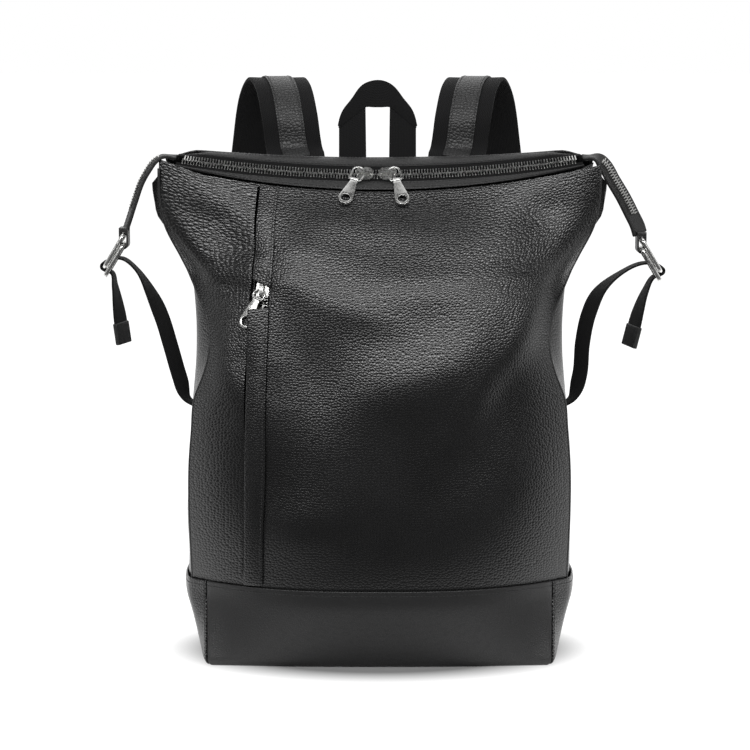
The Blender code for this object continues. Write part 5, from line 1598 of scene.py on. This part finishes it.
# Handle and shoulder straps
def between(lower, upper, count, matrix):
    """Rows between two lines of the same number of points, puffed a little in the middle."""
    rows = []
    for part in spread(0, 1, count):
        puff = HANDLE_PUFF * math.sin(math.pi * part)
        row = []
        for (x0, y0), (x1, y1) in zip(lower, upper):
            place = Vector(((x0 + (x1 - x0) * part) * MM, (y0 + (y1 - y0) * part) * MM, puff))
            row.append(matrix @ place)
        rows.append(row)
    return rows


def turned_rows(rows):
    return [list(row) for row in zip(*rows)]


def make_handle():
    upright = frame_matrix(HANDLE_BASE, X_AXIS, Z_AXIS, -Y_AXIS) @ Matrix.Rotation(HANDLE_LEAN, 4, "X")
    behind = upright @ Matrix.Translation((0, 0, -HANDLE_PUFF))
    sheets = []
    for foot_left, foot_right, right, left in HANDLE_LEGS:
        low = [(x, foot_left[1]) for x in spread(foot_left[0], foot_right[0], 7)]
        high = []
        for s in spread(0, 1, 7):
            high.append((left[0] + (right[0] - left[0]) * s, left[1] + (right[1] - left[1]) * s + HANDLE_LAP))
        sheets.append(between(low, high, 30, behind))
    low, high = [[point.to_2d() for point in along([Vector((x, y, 0)) for x, y in line], 41)]
                 for line in (HANDLE_LOWER, HANDLE_UPPER)]
    sheets.append(turned_rows(between(low, high, 9, upright)))
    parts = [thickened(grid_mesh("part", rows), HANDLE_THICKNESS, 0, 0.6 * MM) for rows in sheets]
    mesh = joined("handle", [(part, Matrix.Identity(4)) for part in parts])
    mesh.shade_smooth()
    add_piece("handle_webbing", mesh, "webbing", "carry_handle", ["carry_handle"])
    rows = []
    for z in spread(*HANDLE_ROOT_Z, 12):
        edges = [x * MM / back_half_width(z) for x in HANDLE_ROOT_X]
        rows.append([off_back(u, z, HANDLE_ROOT_STAND_OFF) for u in spread(*edges, 21)])
    skin("handle_root_webbing", rows, HANDLE_ROOT_THICKNESS, -1, "webbing", ["handle_root"])


def strap_curve(side, shift):
    points = []
    for z in spread(STRAP_FOOT_Z, PANEL_TOP_Z - 6 * MM, 5):
        u = side * STRAP_FOOT_X / back_half_width(z)
        points.append(off_back(u, z, STRAP_STAND_OFF + STRAP_THICKNESS / 2))
    points += [Vector((side * x, y, z)) * MM for x, y, z in STRAP_ROUTE]
    return curve_through([point + X_AXIS * shift for point in points])


def make_shoulder_strap(name):
    side = SIDES[name]
    curve = strap_curve(side, STRAP_SHIFT[name])
    foot = side * STRAP_FOOT_X / back_half_width(PANEL_TOP_Z)
    flat = (back_point(foot + 0.02, PANEL_TOP_Z) - back_point(foot - 0.02, PANEL_TOP_Z)).normalized()
    lean = Vector((1, STRAP_LEAN * side, 0))

    def across(part):
        return flat.lerp(lean, smoothstep(*STRAP_TURN, part))

    centres = [curve(part) for part in spread(0, 1, 130)]
    ribbon("strap_webbing_" + name, centres, across, STRAP_WIDTH, STRAP_THICKNESS,
           ["shoulder_strap_" + name], 0.8 * MM, 9)
    parts = spread(STRIP_START, STRIP_END, 116)
    strip = []
    for part in parts:
        tangent = (curve(min(part + 0.01, 1)) - curve(part - 0.01)).normalized()
        out = across(part).cross(tangent).normalized()
        strip.append(curve(part) + out * (STRAP_THICKNESS / 2 + STRIP_THICKNESS / 2))
    reach = parts[-1] - parts[0]
    rows = ribbon_rows(strip, lambda part: across(STRIP_START + part * reach), STRIP_WIDTH, 7)
    # The strips take the darker copy of pebbled leather, painted shade
    skin("strip_leather_" + name, rows, STRIP_THICKNESS, 0, "shaded_wrap_leather", ["strap_leather_" + name],
         0.5 * MM)
    places = strip_stitches(rows, STRIP_THICKNESS, STRIP_STITCH_INSET)
    rows_of("strap_stitches_" + name, stitch_mesh(), places, "thread")
    down = (centres[-1] - centres[-2]).normalized()
    bar = centres[-1] + down * (LINKING_RING_WIRE + LINKING_RING_PLAY)
    make_lower_strap(name, make_linking_ring(name, bar, down))


def make_linking_ring(name, bar, down):
    """The ring that joins the two straps; returns where the lower strap starts."""
    half = LINKING_RING_HALF_WIDTH
    long = LINKING_RING_LENGTH
    corner = LINKING_RING_CORNER
    outline = arc((half - corner, -corner), corner, 0, 90, 7)
    outline += arc((corner - half, -corner), corner, 90, 180, 7)
    outline += arc((corner - half, corner - long), corner, 180, 270, 7)
    outline += arc((half - corner, corner - long), corner, 270, 360, 7)
    up = -down
    wide = square_to(X_AXIS, up)
    matrix = frame_matrix(bar, wide, up, wide.cross(up))
    ring = tube_mesh("ring", [Vector((x, y, 0)) for x, y in outline], LINKING_RING_WIRE)
    add_piece("linking_metal_" + name, moved(ring, matrix), "nickel", nodes=["linking_ring_" + name])
    make_wrap("strap_wrap_" + name, bar, down, wide, STRAP_WRAP_WIDTH)
    far = bar + down * long
    make_wrap("lower_wrap_" + name, far, -down, wide, LOWER_WIDTH)
    return far + down * (LINKING_RING_WIRE + LOWER_PLAY)


def make_lower_strap(name, start):
    """The webbing from the linking ring down to its leather tab on the back."""
    side = SIDES[name]
    tab = []
    for z in spread(*TAB_Z, 8):
        u = side * TAB_X / back_half_width(z)
        tab.append(off_back(u, z, TAB_STAND_OFF))
        level = back_point(u + 0.1, z) - back_point(u - 0.1, z)
    rows = ribbon_rows(tab, lambda part: level, TAB_WIDTH, 9)
    skin("tab_leather_" + name, rows, TAB_THICKNESS, 0, "smooth_leather", ["lower_tab_" + name], 1.2 * MM)
    places = strip_stitches(rows, TAB_THICKNESS, TAB_STITCH_INSET, -1)
    rows_of("tab_stitches_" + name, stitch_mesh(), places, "thread")
    middle = Vector((side * LOWER_MIDDLE.x, LOWER_MIDDLE.y, LOWER_MIDDLE.z))
    foot = tab[0] + (tab[0] - tab[1]).normalized() * 1.0 * MM
    lower = along([start, middle, foot], 40)
    ribbon("lower_webbing_" + name, lower, lambda part: X_AXIS, LOWER_WIDTH, STRAP_THICKNESS,
           ["lower_strap_" + name], 0.8 * MM)


def make_wrap(name, bar, down, wide, width):
    """The end of a strap turned round a ring's bar and sewn back on itself."""
    out = wide.cross(down)
    radius = LINKING_RING_WIRE + WRAP_STAND_OFF
    path = [out * radius - down * WRAP_LENGTH]
    path += [out * radius * math.cos(t) + down * radius * math.sin(t) for t in spread(0, math.pi, 15)]
    path += [-out * radius - down * WRAP_LENGTH]
    rows = [[bar + offset + wide * s * width for s in spread(-0.5, 0.5, 5)] for offset in path]
    skin(name, rows, WRAP_THICKNESS, 0, "webbing", bevel=0.3 * MM)


def make_yoke():
    rows = []
    for z in spread(*YOKE_Z, 14):
        half = YOKE_HALF_WIDTH / back_half_width(z)
        rows.append([off_back(u, z, YOKE_STAND_OFF) for u in spread(-half, half, 61)])
    skin("yoke_leather", rows, LEATHER, -1, "smooth_leather", ["strap_yoke"], bevel=0.6 * MM)
    places = []
    for line in (rows[2], rows[-3]):
        outs = [back_normal(p.x / back_half_width(p.z), min(p.z, PANEL_TOP_Z - 2 * MM)) for p in line]
        places += stitches_along([p + n * LEATHER for p, n in zip(line, outs)], outs)
    rows_of("yoke_stitches", stitch_mesh(), places, "thread")


# Stage
def seen_share(tree, mirrored_white):
    """How much of the white surroundings a ray meets: all of it in the picture and through clear pieces,
    and in reflections what stands behind and under the bag."""
    path = node(tree, "ShaderNodeLightPath")
    mirrored = node(tree, "ShaderNodeMath", operation="MULTIPLY_ADD")
    tree.links.new(path.outputs["Is Glossy Ray"], mirrored.inputs[0])
    tree.links.new(mirrored_white, mirrored.inputs[1])
    tree.links.new(path.outputs["Is Camera Ray"], mirrored.inputs[2])
    clear = node(tree, "ShaderNodeMath", operation="MAXIMUM")
    tree.links.new(mirrored.outputs[0], clear.inputs[0])
    tree.links.new(path.outputs["Is Transmission Ray"], clear.inputs[1])
    return clear.outputs[0]


def make_stage():
    mesh = bpy.data.meshes.new("floor")
    corners = [(x * FLOOR_HALF_SIZE, y * FLOOR_HALF_SIZE, 0) for x, y in ((-1, -1), (1, -1), (1, 1), (-1, 1))]
    mesh.from_pydata(corners, [], [(0, 1, 2, 3)])
    floor = bpy.data.objects.new("floor", mesh)
    SCENE.objects.link(floor)
    made = bpy.data.materials.new("pale_floor")
    made.use_nodes = True
    tree = made.node_tree
    tree.nodes.clear()
    matt = node(tree, "ShaderNodeBsdfDiffuse")
    matt.inputs["Color"].default_value = (*grey(FLOOR_GREY, 1), 1)
    glow = node(tree, "ShaderNodeEmission")
    glow.inputs["Color"].default_value = (1, 1, 1, 1)
    # The glow is off in an oval round the bag and comes up past its edge: a painted shadow under the bag
    place = node(tree, "ShaderNodeTexCoord").outputs["Object"]
    oval = node(tree, "ShaderNodeVectorMath", operation="DIVIDE")
    oval.inputs[1].default_value = PAINTED_SHADOW_OVAL
    tree.links.new(place, oval.inputs[0])
    away = node(tree, "ShaderNodeVectorMath", operation="LENGTH")
    tree.links.new(oval.outputs["Vector"], away.inputs[0])
    glow_outside_painted_shadow = ranged(tree, away.outputs["Value"], *PAINTED_SHADOW_EDGE, *FLOOR_GLOW)
    tree.links.new(glow_outside_painted_shadow, glow.inputs["Strength"])
    dim = node(tree, "ShaderNodeBsdfDiffuse")
    dim.inputs["Color"].default_value = (*grey(FLOOR_DIM_GREY, 1), 1)
    both = node(tree, "ShaderNodeAddShader")
    pick = node(tree, "ShaderNodeMixShader")
    end = node(tree, "ShaderNodeOutputMaterial")
    tree.links.new(matt.outputs[0], both.inputs[0])
    tree.links.new(glow.outputs[0], both.inputs[1])
    sides = node(tree, "ShaderNodeSeparateXYZ")
    tree.links.new(place, sides.inputs["Vector"])
    sheet = ranged(tree, sides.outputs["Y"], *FLOOR_SHEET_Y, 0, 1)
    tree.links.new(seen_share(tree, sheet), pick.inputs["Fac"])
    tree.links.new(dim.outputs[0], pick.inputs[1])
    tree.links.new(both.outputs[0], pick.inputs[2])
    tree.links.new(pick.outputs[0], end.inputs["Surface"])
    mesh.materials.append(made)


def make_world():
    world = bpy.data.worlds.new("studio")
    bpy.context.scene.world = world
    world.use_nodes = True
    tree = world.node_tree
    tree.nodes.clear()
    seen = node(tree, "ShaderNodeBackground")
    seen.inputs["Color"].default_value = (1, 1, 1, 1)
    seen.inputs["Strength"].default_value = 1.0
    soft = node(tree, "ShaderNodeBackground")
    soft.inputs["Color"].default_value = (1, 1, 1, 1)
    place = node(tree, "ShaderNodeTexCoord").outputs["Generated"]
    parts = node(tree, "ShaderNodeSeparateXYZ")
    tree.links.new(place, parts.inputs["Vector"])
    lighter = ranged(tree, parts.outputs["Y"], *BACKDROP_REACH, *BACKDROP_GLOW)
    tree.links.new(lighter, soft.inputs["Strength"])
    pick = node(tree, "ShaderNodeMixShader")
    end = node(tree, "ShaderNodeOutputWorld")
    backdrop = ranged(tree, parts.outputs["Y"], *BACKDROP_REACH, 0, 1)
    tree.links.new(seen_share(tree, backdrop), pick.inputs["Fac"])
    tree.links.new(soft.outputs[0], pick.inputs[1])
    tree.links.new(seen.outputs[0], pick.inputs[2])
    tree.links.new(pick.outputs[0], end.inputs["Surface"])


def make_lights():
    for name, place, size, power, target in LAMPS:
        lamp = bpy.data.lights.new(name, "AREA")
        lamp.shape = "RECTANGLE"
        lamp.size, lamp.size_y = size
        lamp.energy = power
        item = bpy.data.objects.new(name, lamp)
        item.location = place
        item.rotation_euler = (Vector(target) - Vector(place)).to_track_quat("-Z", "Y").to_euler()
        SCENE.objects.link(item)


def make_camera():
    lens = bpy.data.cameras.new("camera")
    lens.lens = CAMERA_LENS
    lens.sensor_width = 36
    item = bpy.data.objects.new("camera", lens)
    back = Vector((0, -math.cos(CAMERA_ELEVATION), math.sin(CAMERA_ELEVATION)))
    item.location = CAMERA_TARGET + back * CAMERA_DISTANCE
    item.rotation_euler = (math.radians(90) - CAMERA_ELEVATION, 0, 0)
    SCENE.objects.link(item)
    bpy.context.scene.camera = item


def dress_frame():
    """Gives the stiffening board, the one CAD node that stays, its finish."""
    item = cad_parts["base_board"]
    item.data.materials.clear()
    item.data.materials.append(MATERIALS["lining"])


def build():
    make_camera()
    make_front()
    make_lining()
    make_back()
    make_gussets()
    make_base()
    make_main_zip()
    make_main_sliders()
    make_pocket()
    for name in SIDES:
        make_tail(name)
        make_buckle(name)
        make_side_strap(name)
        make_shoulder_strap(name)
    make_handle()
    make_yoke()
    dress_frame()
    make_stage()
    make_world()
    make_lights()
    bpy.context.scene.view_settings.view_transform = "Standard"


build()
